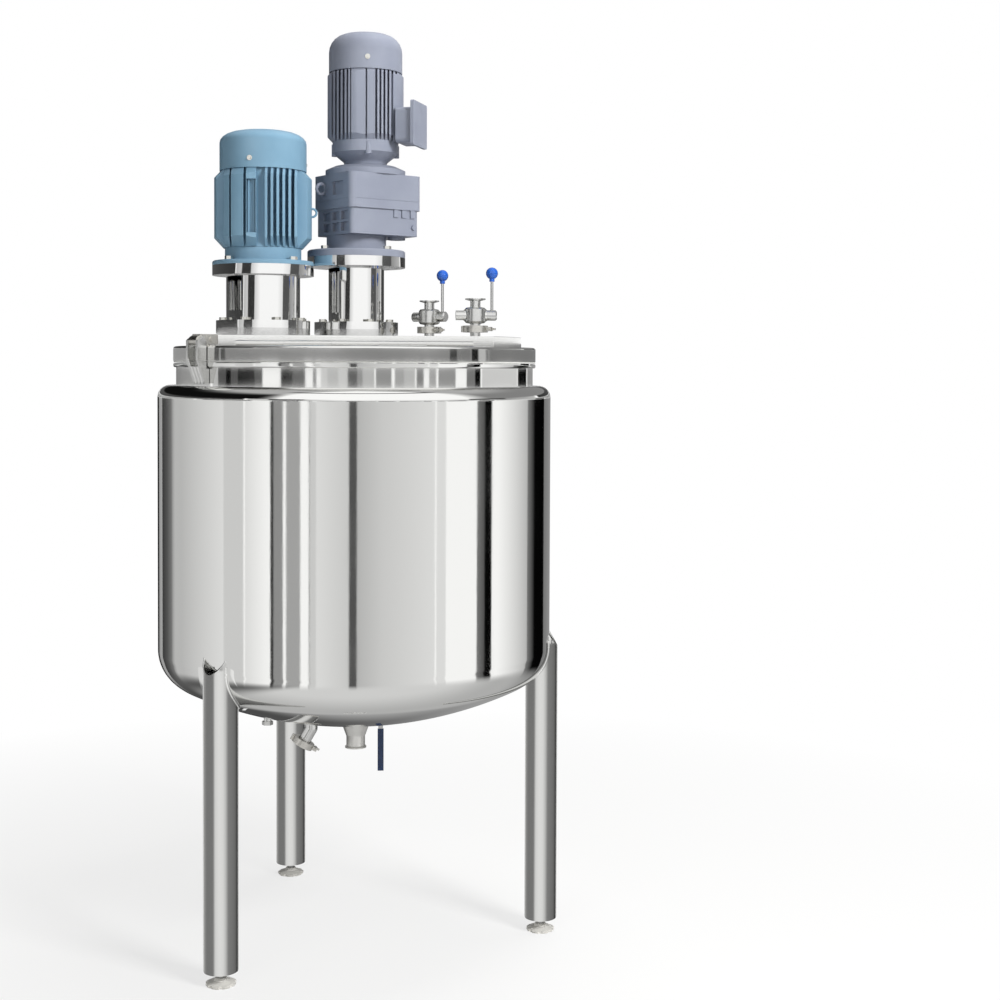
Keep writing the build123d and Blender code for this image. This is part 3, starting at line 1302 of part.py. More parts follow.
def swirl_window(rim, hub):
    # A comma: a round head near one arm and a tail that thins out along the rim
    tail = Vector(*polar(rim, 0.0))
    head = Vector(*polar(rim, 98.0))
    inner = Vector(*polar(hub, 72.0))
    outer_mid = Vector(*polar(rim, 50.0))
    arm_mid = Vector(*polar((rim + hub) * 0.5, 98.0))
    back_mid = Vector(*polar((rim + hub) * 0.52, 34.0))
    edges = [ThreePointArc(tail, outer_mid, head), ThreePointArc(head, arm_mid, inner),
             ThreePointArc(inner, back_mid, tail)]
    window = make_face(edges)
    return fillet(window.vertices(), 2.0)


def build_rotor(place, z_low, stator_inner):
    outer = stator_inner - rotor_gap
    z0 = z_low + rotor_recess
    rotor = rod(outer, z0, z0 + rotor_height)
    window = swirl_window(outer - rotor_rim, rotor_hub)
    for k in range(rotor_arms):
        hole = Pos(0, 0, z0 - 1) * extrude(window, rotor_height + 2)
        rotor -= Rot(0, 0, 360.0 * k / rotor_arms) * hole
    step = shear_shaft_radius - rotor_shaft_step
    rotor -= rod(step + running_fit, z0 - 1, z0 + rotor_height + 1)
    nodes["mixing_rotor"] = place * rotor
    shaft = rod(shear_shaft_radius, z0 + rotor_height, shear_coupling_z)
    shaft += rod(step, z0 - rotor_shaft_end, z0 + rotor_height)
    nodes["shear_shaft"] = place * shaft
    nut = acorn_nut(rotor_nut_flats, rotor_nut_height, z0, 0.0, 0.0, step + running_fit)
    nodes["rotor_dome_nut"] = place * nut
    nodes["shear_coupling"] = group(coupling(motor_shaft_radius, shear_coupling_z), place)
    # A three-bladed propeller between the rods draws liquid down to the head
    blades = []
    z_mid = head_flange_z + propeller_rise
    half = propeller_hub_height / 2
    for k in range(propeller_blade_count):
        blade = Rot(propeller_blade_tilt, 0, 0) * Box(propeller_blade_reach, propeller_blade_width,
                                                      propeller_blade_sheet)
        blade = Pos(shear_shaft_radius + propeller_blade_reach / 2, 0, 0) * blade
        blades.append(Rot(0, 0, 360.0 * k / propeller_blade_count) * blade)
    hub = ring(shear_shaft_radius + propeller_hub_wall, shear_shaft_radius + running_fit, -half, half)
    screw = joined(blades) - Cylinder(shear_shaft_radius + 3, 80) + hub
    nodes["booster_propeller"] = place * Pos(0, 0, z_mid) * screw


build_vessel()
build_lid()
build_bridge()
build_legs()
build_ports()
build_drain()
build_lid_valves()
build_lid_clamp()
build_lanterns()
build_shear_motor()
build_gear_drive()
build_agitator()
build_head()

os.makedirs("parts", exist_ok=True)
for name, shape in nodes.items():
    export_step(shape, "parts/" + name + ".step")
print(len(nodes), "nodes")
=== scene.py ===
import bpy
import bmesh
import json
import math
import numpy as np
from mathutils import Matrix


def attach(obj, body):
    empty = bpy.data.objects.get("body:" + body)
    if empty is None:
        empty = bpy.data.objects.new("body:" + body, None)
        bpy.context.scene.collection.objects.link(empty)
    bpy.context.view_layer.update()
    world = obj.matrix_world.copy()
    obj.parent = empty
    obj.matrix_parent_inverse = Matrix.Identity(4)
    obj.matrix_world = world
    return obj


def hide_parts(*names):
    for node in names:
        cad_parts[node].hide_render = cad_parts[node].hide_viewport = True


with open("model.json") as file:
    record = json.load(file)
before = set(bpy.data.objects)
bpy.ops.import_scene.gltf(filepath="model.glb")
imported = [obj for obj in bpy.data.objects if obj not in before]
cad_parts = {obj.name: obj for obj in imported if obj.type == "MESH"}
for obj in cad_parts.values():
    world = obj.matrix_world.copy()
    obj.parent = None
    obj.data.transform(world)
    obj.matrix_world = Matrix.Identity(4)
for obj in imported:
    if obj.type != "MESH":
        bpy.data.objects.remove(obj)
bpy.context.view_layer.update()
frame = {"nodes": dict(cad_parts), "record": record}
nodes = frame["nodes"]
record = frame["record"]
bodyOf = {node: body for body, group in record["behaviour"]["bodies"].items() for node in group}
slotOf = {part["node"]: part["material_slot"] for part in record["subparts"]}
print("frame loaded:", len(nodes), "nodes")


# Colours and nodes

def linearLight(value):
    # sRGB to linear light, both from 0 to 1: a straight toe below 0.04045, a power of 2.4 above it
    value = np.asarray(value, float)
    return np.where(value <= 0.04045, value / 12.92, ((value + 0.055) / 1.055) ** 2.4)


def hexColour(text):
    return (*linearLight([int(text[i:i + 2], 16) / 255 for i in (1, 3, 5)]).tolist(), 1.0)


def addNode(tree, kind, settings=None, inputs=None):
    # An input given as a socket is linked to it, and one given as a node is linked to its first output
    node = tree.nodes.new(kind)
    for key, value in (settings or {}).items():
        setattr(node, key, value)
    for key, value in (inputs or {}).items():
        if isinstance(value, bpy.types.Node):
            value = value.outputs[0]
        if isinstance(value, bpy.types.NodeSocket):
            tree.links.new(value, node.inputs[key])
        else:
            node.inputs[key].default_value = value
    return node


def newMaterial(name):
    material = bpy.data.materials.new(name)
    material.use_nodes = True
    material.node_tree.nodes.clear()
    return material, material.node_tree


# Materials, each named for what it is and how it was made. Their grain, cloud, drift, peel and relief are in
# millimetres. Real polishing lines and moulded grain are some hundredths of a millimetre wide, too fine to
# show in the render, so they are drawn one to a few millimetres wide

noiseSpan = (0.3, 0.7)  # nearly all of a noise's values lie in here

# How far a noise's scale drops along X, Y and Z, which draws its grain out that way
drawnOut = {"upright": (1.0, 1.0, 0.03), "level": (0.03, 1.0, 1.0), "turned": (0.15, 0.15, 1.0),
            "even": (1.0, 1.0, 1.0)}

polishSettings = {"base": "#E6E6E4", "roughness": (0.035, 0.075), "cloud": 240.0, "cloudSpan": (0.35, 0.65),
                  "grain": 1.4, "along": (1.0, 1.0, 0.02), "bump": 0.012, "relief": 1.0}


def mirrorPolishedSteel():
    # Mirror-polished stainless: sharp reflections that soften in faint clouds, with a trace of upright grain
    s = polishSettings
    material, tree = newMaterial("mirrorPolishedStainless")
    place = addNode(tree, "ShaderNodeTexCoord").outputs["Object"]
    along = addNode(tree, "ShaderNodeMapping", inputs={"Vector": place, "Scale": s["along"]})
    cloud = addNode(tree, "ShaderNodeTexNoise", inputs={
        "Vector": place, "Scale": 1000 / s["cloud"], "Detail": 3.0})
    grain = addNode(tree, "ShaderNodeTexNoise", inputs={
        "Vector": along, "Scale": 1000 / s["grain"], "Detail": 2.0})
    rough = addNode(tree, "ShaderNodeMapRange", inputs={
        "Value": cloud, "From Min": s["cloudSpan"][0], "From Max": s["cloudSpan"][1],
        "To Min": s["roughness"][0], "To Max": s["roughness"][1]})
    relief = addNode(tree, "ShaderNodeBump", inputs={
        "Height": grain, "Strength": s["bump"], "Distance": s["relief"] / 1000})
    shader = addNode(tree, "ShaderNodeBsdfPrincipled", inputs={
        "Base Color": hexColour(s["base"]), "Metallic": 1.0, "Roughness": rough, "Normal": relief})
    addNode(tree, "ShaderNodeOutputMaterial", inputs={"Surface": shader})
    return material


steelSettings = {"relief": 0.5, "detail": 4.0, "rough": 0.6}
steelFinishes = {
    # Stainless tube and strip, brushed upright: broad soft highlights that run along the tube
    "satin_steel": {"name": "satinStainlessTube", "base": "#DADAD8", "roughness": (0.17, 0.24),
                    "along": "upright", "grain": 1.2, "bump": 0.04},
    # Bright-drawn flat bar and fresh weld metal: nearly a mirror, and whiter than the sheet around it
    "bright_bar": {"name": "brightDrawnStainless", "base": "#F6F6F4", "roughness": (0.05, 0.08),
                   "along": "level", "grain": 1.5, "bump": 0.01},
    # Cast and blasted: a faint pebble, no mirror image, warm grey
    "cast_steel": {"name": "blastedCastStainless", "base": "#D6D4CE", "roughness": (0.24, 0.34),
                   "along": "even", "grain": 1.5, "bump": 0.15},
    # Turned shafts, pins and levers: fine rings that stretch the highlight along the piece
    "machined_steel": {"name": "turnedStainless", "base": "#CFCFCE", "roughness": (0.14, 0.24),
                       "along": "turned", "grain": 0.6, "bump": 0.10},
    # Discs turned and then polished: clear reflections with a trace of rings
    "disc_steel": {"name": "turnedStainlessDisc", "base": "#D9D9D8", "roughness": (0.05, 0.12),
                   "along": "turned", "grain": 1.0, "bump": 0.04},
    # Lanterns polished by hand: bright, with reflections nearly as sharp as on the jacket
    "lantern_steel": {"name": "polishedStainlessLantern", "base": "#E8E8E7", "roughness": (0.04, 0.08),
                      "along": "upright", "grain": 1.2, "bump": 0.02},
    # Milled head and propeller: brighter on the cutter's marks, a little warm
    "rotor_steel": {"name": "milledStainless", "base": "#CBC8C0", "roughness": (0.12, 0.22),
                    "along": "turned", "grain": 0.8, "bump": 0.08},
    # Bead-blasted tube: pale and even, with only blurred patches of what stands around it
    "blasted_tube": {"name": "beadBlastedTube", "base": "#E4E3DF", "roughness": (0.30, 0.38),
                     "along": "even", "grain": 1.5, "bump": 0.06},
    # Zinc-plated screws: bright with a slight frost
    "zinc": {"name": "zincPlatedSteel", "base": "#D6D5CF", "roughness": (0.16, 0.28),
             "along": "even", "grain": 2.0, "bump": 0.08}}


def steel(name, base, roughness, along, grain, bump):
    # One noise, drawn out along the way the steel was worked, gives both the roughness and a fine relief
    s = steelSettings
    material, tree = newMaterial(name)
    place = addNode(tree, "ShaderNodeTexCoord").outputs["Object"]
    drawn = addNode(tree, "ShaderNodeMapping", inputs={"Vector": place, "Scale": drawnOut[along]})
    noise = addNode(tree, "ShaderNodeTexNoise", inputs={
        "Vector": drawn, "Scale": 1000 / grain, "Detail": s["detail"], "Roughness": s["rough"]})
    rough = addNode(tree, "ShaderNodeMapRange", inputs={
        "Value": noise, "From Min": noiseSpan[0], "From Max": noiseSpan[1],
        "To Min": roughness[0], "To Max": roughness[1]})
    relief = addNode(tree, "ShaderNodeBump", inputs={
        "Height": noise, "Strength": bump, "Distance": s["relief"] / 1000})
    shader = addNode(tree, "ShaderNodeBsdfPrincipled", inputs={
        "Base Color": hexColour(base), "Metallic": 1.0, "Roughness": rough, "Normal": relief})
    addNode(tree, "ShaderNodeOutputMaterial", inputs={"Surface": shader})
    return material


enamelSettings = {"drift": 111.1, "relief": 0.6, "specular": 0.35}
enamelFinishes = {
    # Semi-gloss motor enamel, sprayed over cast aluminium: soft sheen, slight orange peel
    "blue_paint": {"name": "sprayedBlueEnamel", "base": "#80A3BA", "shade": "#7398AF",
                   "roughness": (0.30, 0.42), "peel": 3.0, "bump": 0.12},
    # Grey enamel, sprayed over rough iron castings: duller, with a coarser peel
    "grey_paint": {"name": "sprayedGreyEnamel", "base": "#959AA8", "shade": "#8A8F9E",
                   "roughness": (0.34, 0.48), "peel": 3.5, "bump": 0.16}}


def enamel(name, base, shade, roughness, peel, bump):
    # A slow noise drifts the tone and the sheen, and a fine one gives the orange peel. Of the colour mix's
    # inputs 0 is the factor, and 6 and 7 are the two colours
    s = enamelSettings
    material, tree = newMaterial(name)
    place = addNode(tree, "ShaderNodeTexCoord").outputs["Object"]
    drift = addNode(tree, "ShaderNodeTexNoise", inputs={
        "Vector": place, "Scale": 1000 / s["drift"], "Detail": 5.0})
    skin = addNode(tree, "ShaderNodeTexNoise", inputs={
        "Vector": place, "Scale": 1000 / peel, "Detail": 2.0})
    share = addNode(tree, "ShaderNodeMapRange", inputs={
        "Value": drift, "From Min": noiseSpan[0], "From Max": noiseSpan[1]})
    rough = addNode(tree, "ShaderNodeMapRange", inputs={
        "Value": share, "To Min": roughness[0], "To Max": roughness[1]})
    colour = addNode(tree, "ShaderNodeMix", {"data_type": "RGBA"}, {
        0: share, 6: hexColour(base), 7: hexColour(shade)})
    relief = addNode(tree, "ShaderNodeBump", inputs={
        "Height": skin, "Strength": bump, "Distance": s["relief"] / 1000})
    shader = addNode(tree, "ShaderNodeBsdfPrincipled", inputs={
        "Base Color": colour.outputs[2], "Roughness": rough, "Normal": relief,
        "Specular IOR Level": s["specular"]})
    addNode(tree, "ShaderNodeOutputMaterial", inputs={"Surface": shader})
    return material


plasticSettings = {"relief": 0.4, "coatRoughness": 0.05}
plasticFinishes = {
    # Moulded silicone: milky white and matt
    "white_gasket": {"name": "mouldedSilicone", "base": "#DCDCD8", "shade": "#D2D2CE", "roughness": 0.5,
                     "grain": 6.0, "bump": 0.1, "coat": 0.0},
    # Skived fluoroplastic: waxy white
    "ptfe": {"name": "skivedPtfe", "base": "#EEEEEA", "shade": "#E4E4E0", "roughness": 0.45,
             "grain": 8.0, "bump": 0.1, "coat": 0.0},
    # Moulded nylon foot pads: off-white with a slight sheen
    "foot_plastic": {"name": "mouldedFootNylon", "base": "#E2E0DA", "shade": "#D8D6D0", "roughness": 0.40,
                     "grain": 4.0, "bump": 0.15, "coat": 0.0},
    # Phenolic ball knobs: deep blue under a polished skin
    "knob_blue": {"name": "phenolicBallBlue", "base": "#1560C8", "shade": "#1257BA", "roughness": 0.12,
                  "grain": 12.0, "bump": 0.02, "coat": 0.6},
    # Dipped vinyl grip: navy, thick and a little glossy
    "grip_blue": {"name": "dippedVinylBlue", "base": "#0F3360", "shade": "#0C2C55", "roughness": 0.30,
                  "grain": 6.0, "bump": 0.1, "coat": 0.2}}


def plastic(name, base, shade, roughness, grain, bump, coat):
    # One noise mottles the colour slightly and gives the moulded skin its relief
    s = plasticSettings
    material, tree = newMaterial(name)
    place = addNode(tree, "ShaderNodeTexCoord").outputs["Object"]
    mottle = addNode(tree, "ShaderNodeTexNoise", inputs={
        "Vector": place, "Scale": 1000 / grain, "Detail": 3.0})
    share = addNode(tree, "ShaderNodeMapRange", inputs={
        "Value": mottle, "From Min": noiseSpan[0], "From Max": noiseSpan[1]})
    colour = addNode(tree, "ShaderNodeMix", {"data_type": "RGBA"}, {
        0: share, 6: hexColour(base), 7: hexColour(shade)})
    relief = addNode(tree, "ShaderNodeBump", inputs={
        "Height": mottle, "Strength": bump, "Distance": s["relief"] / 1000})
    shader = addNode(tree, "ShaderNodeBsdfPrincipled", inputs={
        "Base Color": colour.outputs[2], "Roughness": roughness, "Normal": relief, "Coat Weight": coat,
        "Coat Roughness": s["coatRoughness"]})
    addNode(tree, "ShaderNodeOutputMaterial", inputs={"Surface": shader})
    return material


finishes = {"polished_steel": mirrorPolishedSteel()}
for make, group in ((steel, steelFinishes), (enamel, enamelFinishes), (plastic, plasticFinishes)):
    finishes.update({slot: make(**settings) for slot, settings in group.items()})
print("materials:", len(finishes))


# Meshes

def finishPiece(piece, body, slot, replaced=(), finish=""):
    # The slot's own finish, or another where the photograph shows the piece brighter or duller than its slot
    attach(piece, body)
    piece.data.materials.clear()
    piece.data.materials.append(finishes[finish or slot])
    if replaced:
        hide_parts(*replaced)


def meshPiece(name, points, faces, sharpDegrees=30):
    mesh = bpy.data.meshes.new(name)
    mesh.from_pydata(points.reshape(-1, 3).tolist(), [], faces.tolist())
    mesh.validate()
    mesh.shade_smooth()
    mesh.set_sharp_from_angle(angle=math.radians(sharpDegrees))
    piece = bpy.data.objects.new(name, mesh)
    bpy.context.scene.collection.objects.link(piece)
    return piece


def gridFaces(rows, columns, closeRows, closeColumns):
    # Quads between neighbouring grid points; a closed direction also joins its last line to its first
    row, column = np.meshgrid(np.arange(rows if closeRows else rows - 1),
                              np.arange(columns if closeColumns else columns - 1), indexing="ij")
    nextRow, nextColumn = (row + 1) % rows, (column + 1) % columns
    corners = [row * columns + column, nextRow * columns + column,
               nextRow * columns + nextColumn, row * columns + nextColumn]
    return np.stack(corners, axis=-1).reshape(-1, 4)


def facesOutwards(piece):
    work = bmesh.new()
    work.from_mesh(piece.data)
    bmesh.ops.recalc_face_normals(work, faces=work.faces)
    work.to_mesh(piece.data)
    work.free()


def revolved(name, profile, steps=256):
    # A closed section of radius and height, carried round the upright axis at even angles
    section = np.asarray(profile, float)
    turn = np.linspace(0, 2 * math.pi, steps, endpoint=False)
    radius = section[:, 0][:, None]
    height = np.repeat(section[:, 1][:, None], steps, axis=1)
    points = np.stack([radius * np.cos(turn), radius * np.sin(turn), height], axis=-1)
    piece = meshPiece(name, points, gridFaces(len(section), steps, True, True))
    facesOutwards(piece)
    return piece


# The vessel, its jacket, its rim and its gasket, in metres

vesselSettings = {"radius": 0.450, "wall": 0.004, "knuckle": 0.050, "crown": 0.950, "tangentZ": 0.740,
                  "outletHole": 0.02445, "holdRing": 0.002, "arcSteps": 24, "crownSteps": 40}
jacketSettings = {"radius": 0.500, "wall": 0.003, "top": 1.405, "corner": 0.030, "hole": 0.0423, "steps": 320}
rimSettings = {"under": 1.450, "top": 1.463, "radius": 0.461, "lip": 0.004, "lipSteps": 6}
gasketSettings = {"top": 1.466, "inset": 0.001, "clear": 0.0005}


def dishedProfile(offset, hole):
    # Parallel to the vessel's inside: a knuckle arc from level to the crown arc, then the crown in to the
    # hole. One ring on the straight wall beside the knuckle keeps the wall's reflections straight
    s = vesselSettings
    knuckle, crown = s["knuckle"] + offset, s["crown"] + offset
    reach = s["radius"] - s["knuckle"]
    rise = math.sqrt((s["crown"] - s["knuckle"]) ** 2 - reach ** 2)
    turn = math.atan2(rise, reach)
    bend = np.linspace(0, turn, s["arcSteps"])
    bowl = np.linspace(turn, math.acos(hole / crown), s["crownSteps"])[1:]
    radius = np.concatenate([[reach + knuckle], reach + knuckle * np.cos(bend), crown * np.cos(bowl)])
    height = np.concatenate([[s["tangentZ"] + s["holdRing"]], s["tangentZ"] - knuckle * np.sin(bend),
                             s["tangentZ"] + rise - crown * np.sin(bowl)])
    return np.stack([radius, height], axis=1)


def shoulderProfile(radius, top, corner):
    # From the neck outwards: level to the corner, then a quarter circle down to the wall, with a ring before
    # and one after it that keep the flat and the wall straight in the reflections
    s = vesselSettings
    bend = np.linspace(0, math.pi / 2, s["arcSteps"])
    roll = np.stack([radius - corner + corner * np.sin(bend), top - corner + corner * np.cos(bend)], axis=1)
    level = [[s["radius"] + s["wall"], top], [radius - corner - s["holdRing"], top]]
    return np.concatenate([level, roll, [[radius, top - corner - s["holdRing"]]]])


def buildJacket():
    # Down the outer skin from the neck to the outlet's hole, and back up the inner skin, one wall inside it
    s = jacketSettings
    skins = [np.concatenate([shoulderProfile(s["radius"] - inset, s["top"] - inset, s["corner"] - inset),
                             dishedProfile(s["radius"] - inset - vesselSettings["radius"], s["hole"])])
             for inset in (0.0, s["wall"])]
    jacket = revolved("jacketShell", np.concatenate([skins[0], skins[1][::-1]]), s["steps"])
    finishPiece(jacket, "root", "polished_steel", ["jacket_shell"])


def buildVessel():
    # Down the outside from the rim to the outlet's hole, and back up the inside
    s, top = vesselSettings, rimSettings["top"]
    outside = np.concatenate([[[s["radius"] + s["wall"], top]], dishedProfile(s["wall"], s["outletHole"])])
    inside = np.concatenate([[[s["radius"], top]], dishedProfile(0.0, s["outletHole"])])
    vessel = revolved("innerVessel", np.concatenate([outside, inside[::-1]]))
    finishPiece(vessel, "root", "polished_steel", ["inner_vessel"])


def buildRim():
    # A flat ring whose lower outer corner is a quarter circle, and the gasket, a square ring on top of it
    rim, gasket = rimSettings, gasketSettings
    neck = vesselSettings["radius"] + vesselSettings["wall"]
    low, high = rim["top"], gasket["top"]
    roll = np.linspace(0, math.pi / 2, rim["lipSteps"])
    corner = np.stack([rim["radius"] - rim["lip"] + rim["lip"] * np.sin(roll),
                       rim["under"] + rim["lip"] - rim["lip"] * np.cos(roll)], axis=1)
    section = np.concatenate([[[neck, rim["under"]]], corner, [[rim["radius"], low], [neck, low]]])
    finishPiece(revolved("rimFlange", section), "root", "polished_steel", ["rim_flange"])
    inner, outer = vesselSettings["radius"] + gasket["clear"], rim["radius"] - gasket["inset"]
    section = [[inner, low], [outer, low], [outer, high], [inner, high]]
    finishPiece(revolved("lidGasket", section), "root", "white_gasket", ["lid_gasket"])


buildJacket()
buildVessel()
buildRim()
print("vessel built")


# The construction's other pieces, dressed

dressSettings = {
    "mergeWithin": 1e-5, "sharpDegrees": 32, "bevelSegments": 2,
    "wornMm": {"hatch": 0.6, "lid_cover": 0.6, "bridge_plate": 0.8, "gear_case": 1.6,
               "shear_motor_frame": 0.8, "motor_frame": 0.7, "terminal_box": 0.8, "terminal_box_lid": 0.8,
               "motor_bell": 0.6, "shear_motor_flange": 0.6, "gear_output_flange": 0.6,
               "drain_lever_grip": 2.4},
    "finish": {"bridge_plate": "bright_bar", "bottom_outlet": "blasted_tube"}}


def smoothCopy(node):
    # The construction's own mesh, merged, shaded smooth between its edges and given worn corners
    s = dressSettings
    first, *others = node.split("_")
    name = first + "".join(word.capitalize() for word in others)
    mesh = nodes[node].data.copy()
    mesh.name = name
    work = bmesh.new()
    work.from_mesh(mesh)
    bmesh.ops.remove_doubles(work, verts=work.verts, dist=s["mergeWithin"])
    work.to_mesh(mesh)
    work.free()
    if "custom_normal" in mesh.attributes:
        mesh.attributes.remove(mesh.attributes["custom_normal"])
    mesh.shade_smooth()
    mesh.set_sharp_from_angle(angle=math.radians(s["sharpDegrees"]))
    piece = bpy.data.objects.new(name, mesh)
    bpy.context.scene.collection.objects.link(piece)
    if node in s["wornMm"]:
        bevel = piece.modifiers.new("wornEdges", "BEVEL")
        bevel.width = s["wornMm"][node] / 1000
        bevel.segments = s["bevelSegments"]
        bevel.limit_method = "ANGLE"
        bevel.angle_limit = math.radians(s["sharpDegrees"])
    flats = piece.modifiers.new("flatsRuleNormals", "WEIGHTED_NORMAL")
    flats.keep_sharp = True
    finishPiece(piece, bodyOf[node], slotOf[node], [node], s["finish"].get(node, ""))


for node in nodes:
    if not nodes[node].hide_render:  # the vessel's pieces have replaced theirs already
        smoothCopy(node)
print("construction pieces dressed")


# Weld beads round the legs' tops

legSettings = {"radius": 0.0413, "circle": 0.480, "degrees": (-7, -130.6, 113), "mouthZ": 0.768,
               "mouthSlope": 1.5}
weldSettings = {"rimBead": 0.0018, "seamBead": 0.0040, "rimUpTo": 0.0027, "step": 0.0009, "lookAhead": 2,
                "rippleMm": 2.6, "ripple": 0.10, "traceSteps": 721, "sides": 10, "sharpDegrees": 60}


def unitLength(vectors):
    return vectors / np.linalg.norm(vectors, axis=1, keepdims=True)


def weldLine():
    # Round a leg that stands out along X. Outside the jacket the line is the leg's sloping mouth, and inside
    # it is the height of the knuckle over the leg's own circle; where they part it runs up the jacket's wall
    leg, vessel, jacket = legSettings, vesselSettings, jacketSettings
    turn = np.linspace(0, 2 * math.pi, weldSettings["traceSteps"])
    across, side = leg["circle"] + leg["radius"] * np.cos(turn), leg["radius"] * np.sin(turn)
    reach = np.hypot(across, side)
    knuckle = vessel["knuckle"] + jacket["radius"] - vessel["radius"]
    drop = np.sqrt(np.maximum(knuckle ** 2 - (reach - vessel["radius"] + vessel["knuckle"]) ** 2, 0))
    mouth = leg["mouthZ"] - leg["mouthSlope"] * (across - jacket["radius"])
    outside = reach > jacket["radius"]
    return np.stack([across, side, np.where(outside, mouth, vessel["tangentZ"] - drop)], axis=-1), outside


def weldBead():
    # The line at even steps, and about it a ring whose radius ripples along the line as a sine. On the leg's
    # rim the bead moves in by its own radius, so that it stays on the tube's wall
    s = weldSettings
    line, outside = weldLine()
    length = np.concatenate([[0], np.cumsum(np.linalg.norm(np.diff(line, axis=0), axis=1))])
    run = np.linspace(0, length[-1], int(length[-1] / s["step"]), endpoint=False)
    size = np.interp(run, length, np.where(outside, s["rimBead"], s["seamBead"]))
    path = np.stack([np.interp(run, length, line[:, k]) for k in range(3)], axis=-1)
    out = unitLength((path - [legSettings["circle"], 0, 0]) * [1, 1, 0])
    path -= out * np.where(size < s["rimUpTo"], size, 0)[:, None]
    ahead = unitLength(np.roll(path, -s["lookAhead"], axis=0) - np.roll(path, s["lookAhead"], axis=0))
    beside = unitLength(np.cross(ahead, out))
    out = np.cross(beside, ahead)
    size = size * (1 + s["ripple"] * np.sin(2 * math.pi * run * 1000 / s["rippleMm"]))
    ring = np.linspace(0, 2 * math.pi, s["sides"], endpoint=False)[:, None]
    about = np.cos(ring) * out[:, None] + np.sin(ring) * beside[:, None]
    return path[:, None] + size[:, None, None] * about


def buildLegWelds():
    # One bead, turned about the tank's axis to each leg
    bead = weldBead()
    x, y, z = bead[..., 0], bead[..., 1], bead[..., 2]
    for number, degrees in enumerate(legSettings["degrees"]):
        cosine, sine = math.cos(math.radians(degrees)), math.sin(math.radians(degrees))
        placed = np.stack([x * cosine - y * sine, x * sine + y * cosine, z], axis=-1)
        weld = meshPiece("legWeld%d" % (number + 1), placed, gridFaces(*x.shape, True, True),
                         weldSettings["sharpDegrees"])
        facesOutwards(weld)
        finishPiece(weld, "root", "satin_steel", finish="bright_bar")


buildLegWelds()
print("legs welded")


# Studio: a pale floor, soft lamps, and dark and light cards that only reflections show. Places are in metres,
# turns in degrees, and a card's soft edge in millimetres. A share of 1 across a ring would graze it, and the
# view stops at grazing, just short of that

cameraSettings = {"eye": (0.0264, -4.080, 1.4583), "lensMm": 56.84, "yaw": -4.83, "pitch": -1.63,
                  "roll": -0.23, "shiftY": -0.09}
floorSettings = {"size": 60.0, "colour": "#EDEDEB", "fade": (0.9, 2.6), "shadowShare": 0.30}
studioSettings = {"cardRadius": 3.0, "cardEdge": 0.3, "grazing": 0.9995, "turnSteps": 361, "steelShare": 0.80,
                  "ambient": 0.24}

# Each wall is what one ring of the tank reflects: the ring's radius, its lowest and highest points, the tone
# of the open wall and the cards hung on it. A card gives millimetres across the ring from and to, as the
# photograph's viewpoint sees them, and its tone, or two tones where it is graded between them
cardTones = {"black": 4, "soot": 20, "dark": 50, "slate": 80, "mid": 115, "drab": 128, "grey": 140,
             "silver": 160, "pale": 180, "light": 200, "bright": 218, "white": 245}
jacketWall = {"radius": 0.500, "low": 0.700, "high": 1.394, "open": "white", "cards": (
    (-500, -496, "soot"), (-496, -488, "grey", "silver"), (-488, -476, "dark", "slate"),
    (-476, -464, "slate", "mid"), (-464, -456, "grey", "pale"), (-456, -440, "pale"),
    (-440, -334, "pale", "bright"), (-334, -284, "light"), (-280, -216, "bright", "white"),
    (-216, -208, "dark"), (-208, -184, "grey"), (-176, -140, "silver"), (-118, -116, "mid"),
    (-116, -100, "light"), (-100, -16, "bright", "light"), (-16, 4, "slate"), (4, 70, "pale", "light"),
    (70, 204, "light", "bright"), (208, 232, "bright"), (312, 332, "mid", "slate"), (332, 350, "black"),
    (366, 442, "white", "pale"), (442, 460, "mid", "soot"), (460, 484, "black"), (484, 500, "mid", "grey"))}
neckWall = {"radius": 0.454, "low": 1.405, "high": 1.452, "open": "white", "cards": (
    (-454, -368, "mid", "silver"), (-362, -348, "pale"), (-348, -328, "slate"), (-328, -316, "black"),
    (-316, -298, "slate"), (-298, -256, "black", "soot"), (-256, -236, "slate"), (-190, -160, "black"),
    (-160, -128, "slate"), (-108, -100, "mid"), (-88, -72, "light"), (-72, -44, "pale"),
    (-44, -20, "light"), (-20, 4, "slate"), (4, 18, "grey"), (18, 48, "pale"), (52, 92, "grey"),
    (100, 124, "silver"), (124, 152, "pale"), (156, 174, "mid"), (188, 206, "silver"), (212, 256, "grey"),
    (284, 306, "mid"), (306, 320, "black"), (324, 414, "light"), (416, 438, "black"), (440, 454, "grey"))}
skirtWall = {"radius": 0.461, "low": 1.462, "high": 1.512, "open": "drab", "cards": (
    (-460, -368, "grey"), (-368, -328, "slate"), (240, 258, "dark"), (258, 292, "mid"), (296, 312, "black"),
    (314, 330, "pale"), (330, 460, "mid"))}
lanternWall = {"radius": 0.120, "low": 1.535, "high": 1.930, "open": "white", "cards": (
    (-120, -62, "slate", "dark"), (-60, -48, "pale", "light"), (-48, -28, "dark"),
    (-28, -10, "light", "white"), (46, 64, "white", "bright"), (64, 86, "slate"), (86, 106, "grey", "pale"),
    (108, 120, "dark", "slate"))}


def glowing(name):
    # A lit wall: its glow is the tone kept on its own vertices
    material, tree = newMaterial(name)
    tone = addNode(tree, "ShaderNodeAttribute", {"attribute_name": "tone"})
    shader = addNode(tree, "ShaderNodeEmission", inputs={"Color": tone, "Strength": 1.0})
    addNode(tree, "ShaderNodeOutputMaterial", inputs={"Surface": shader})
    return material


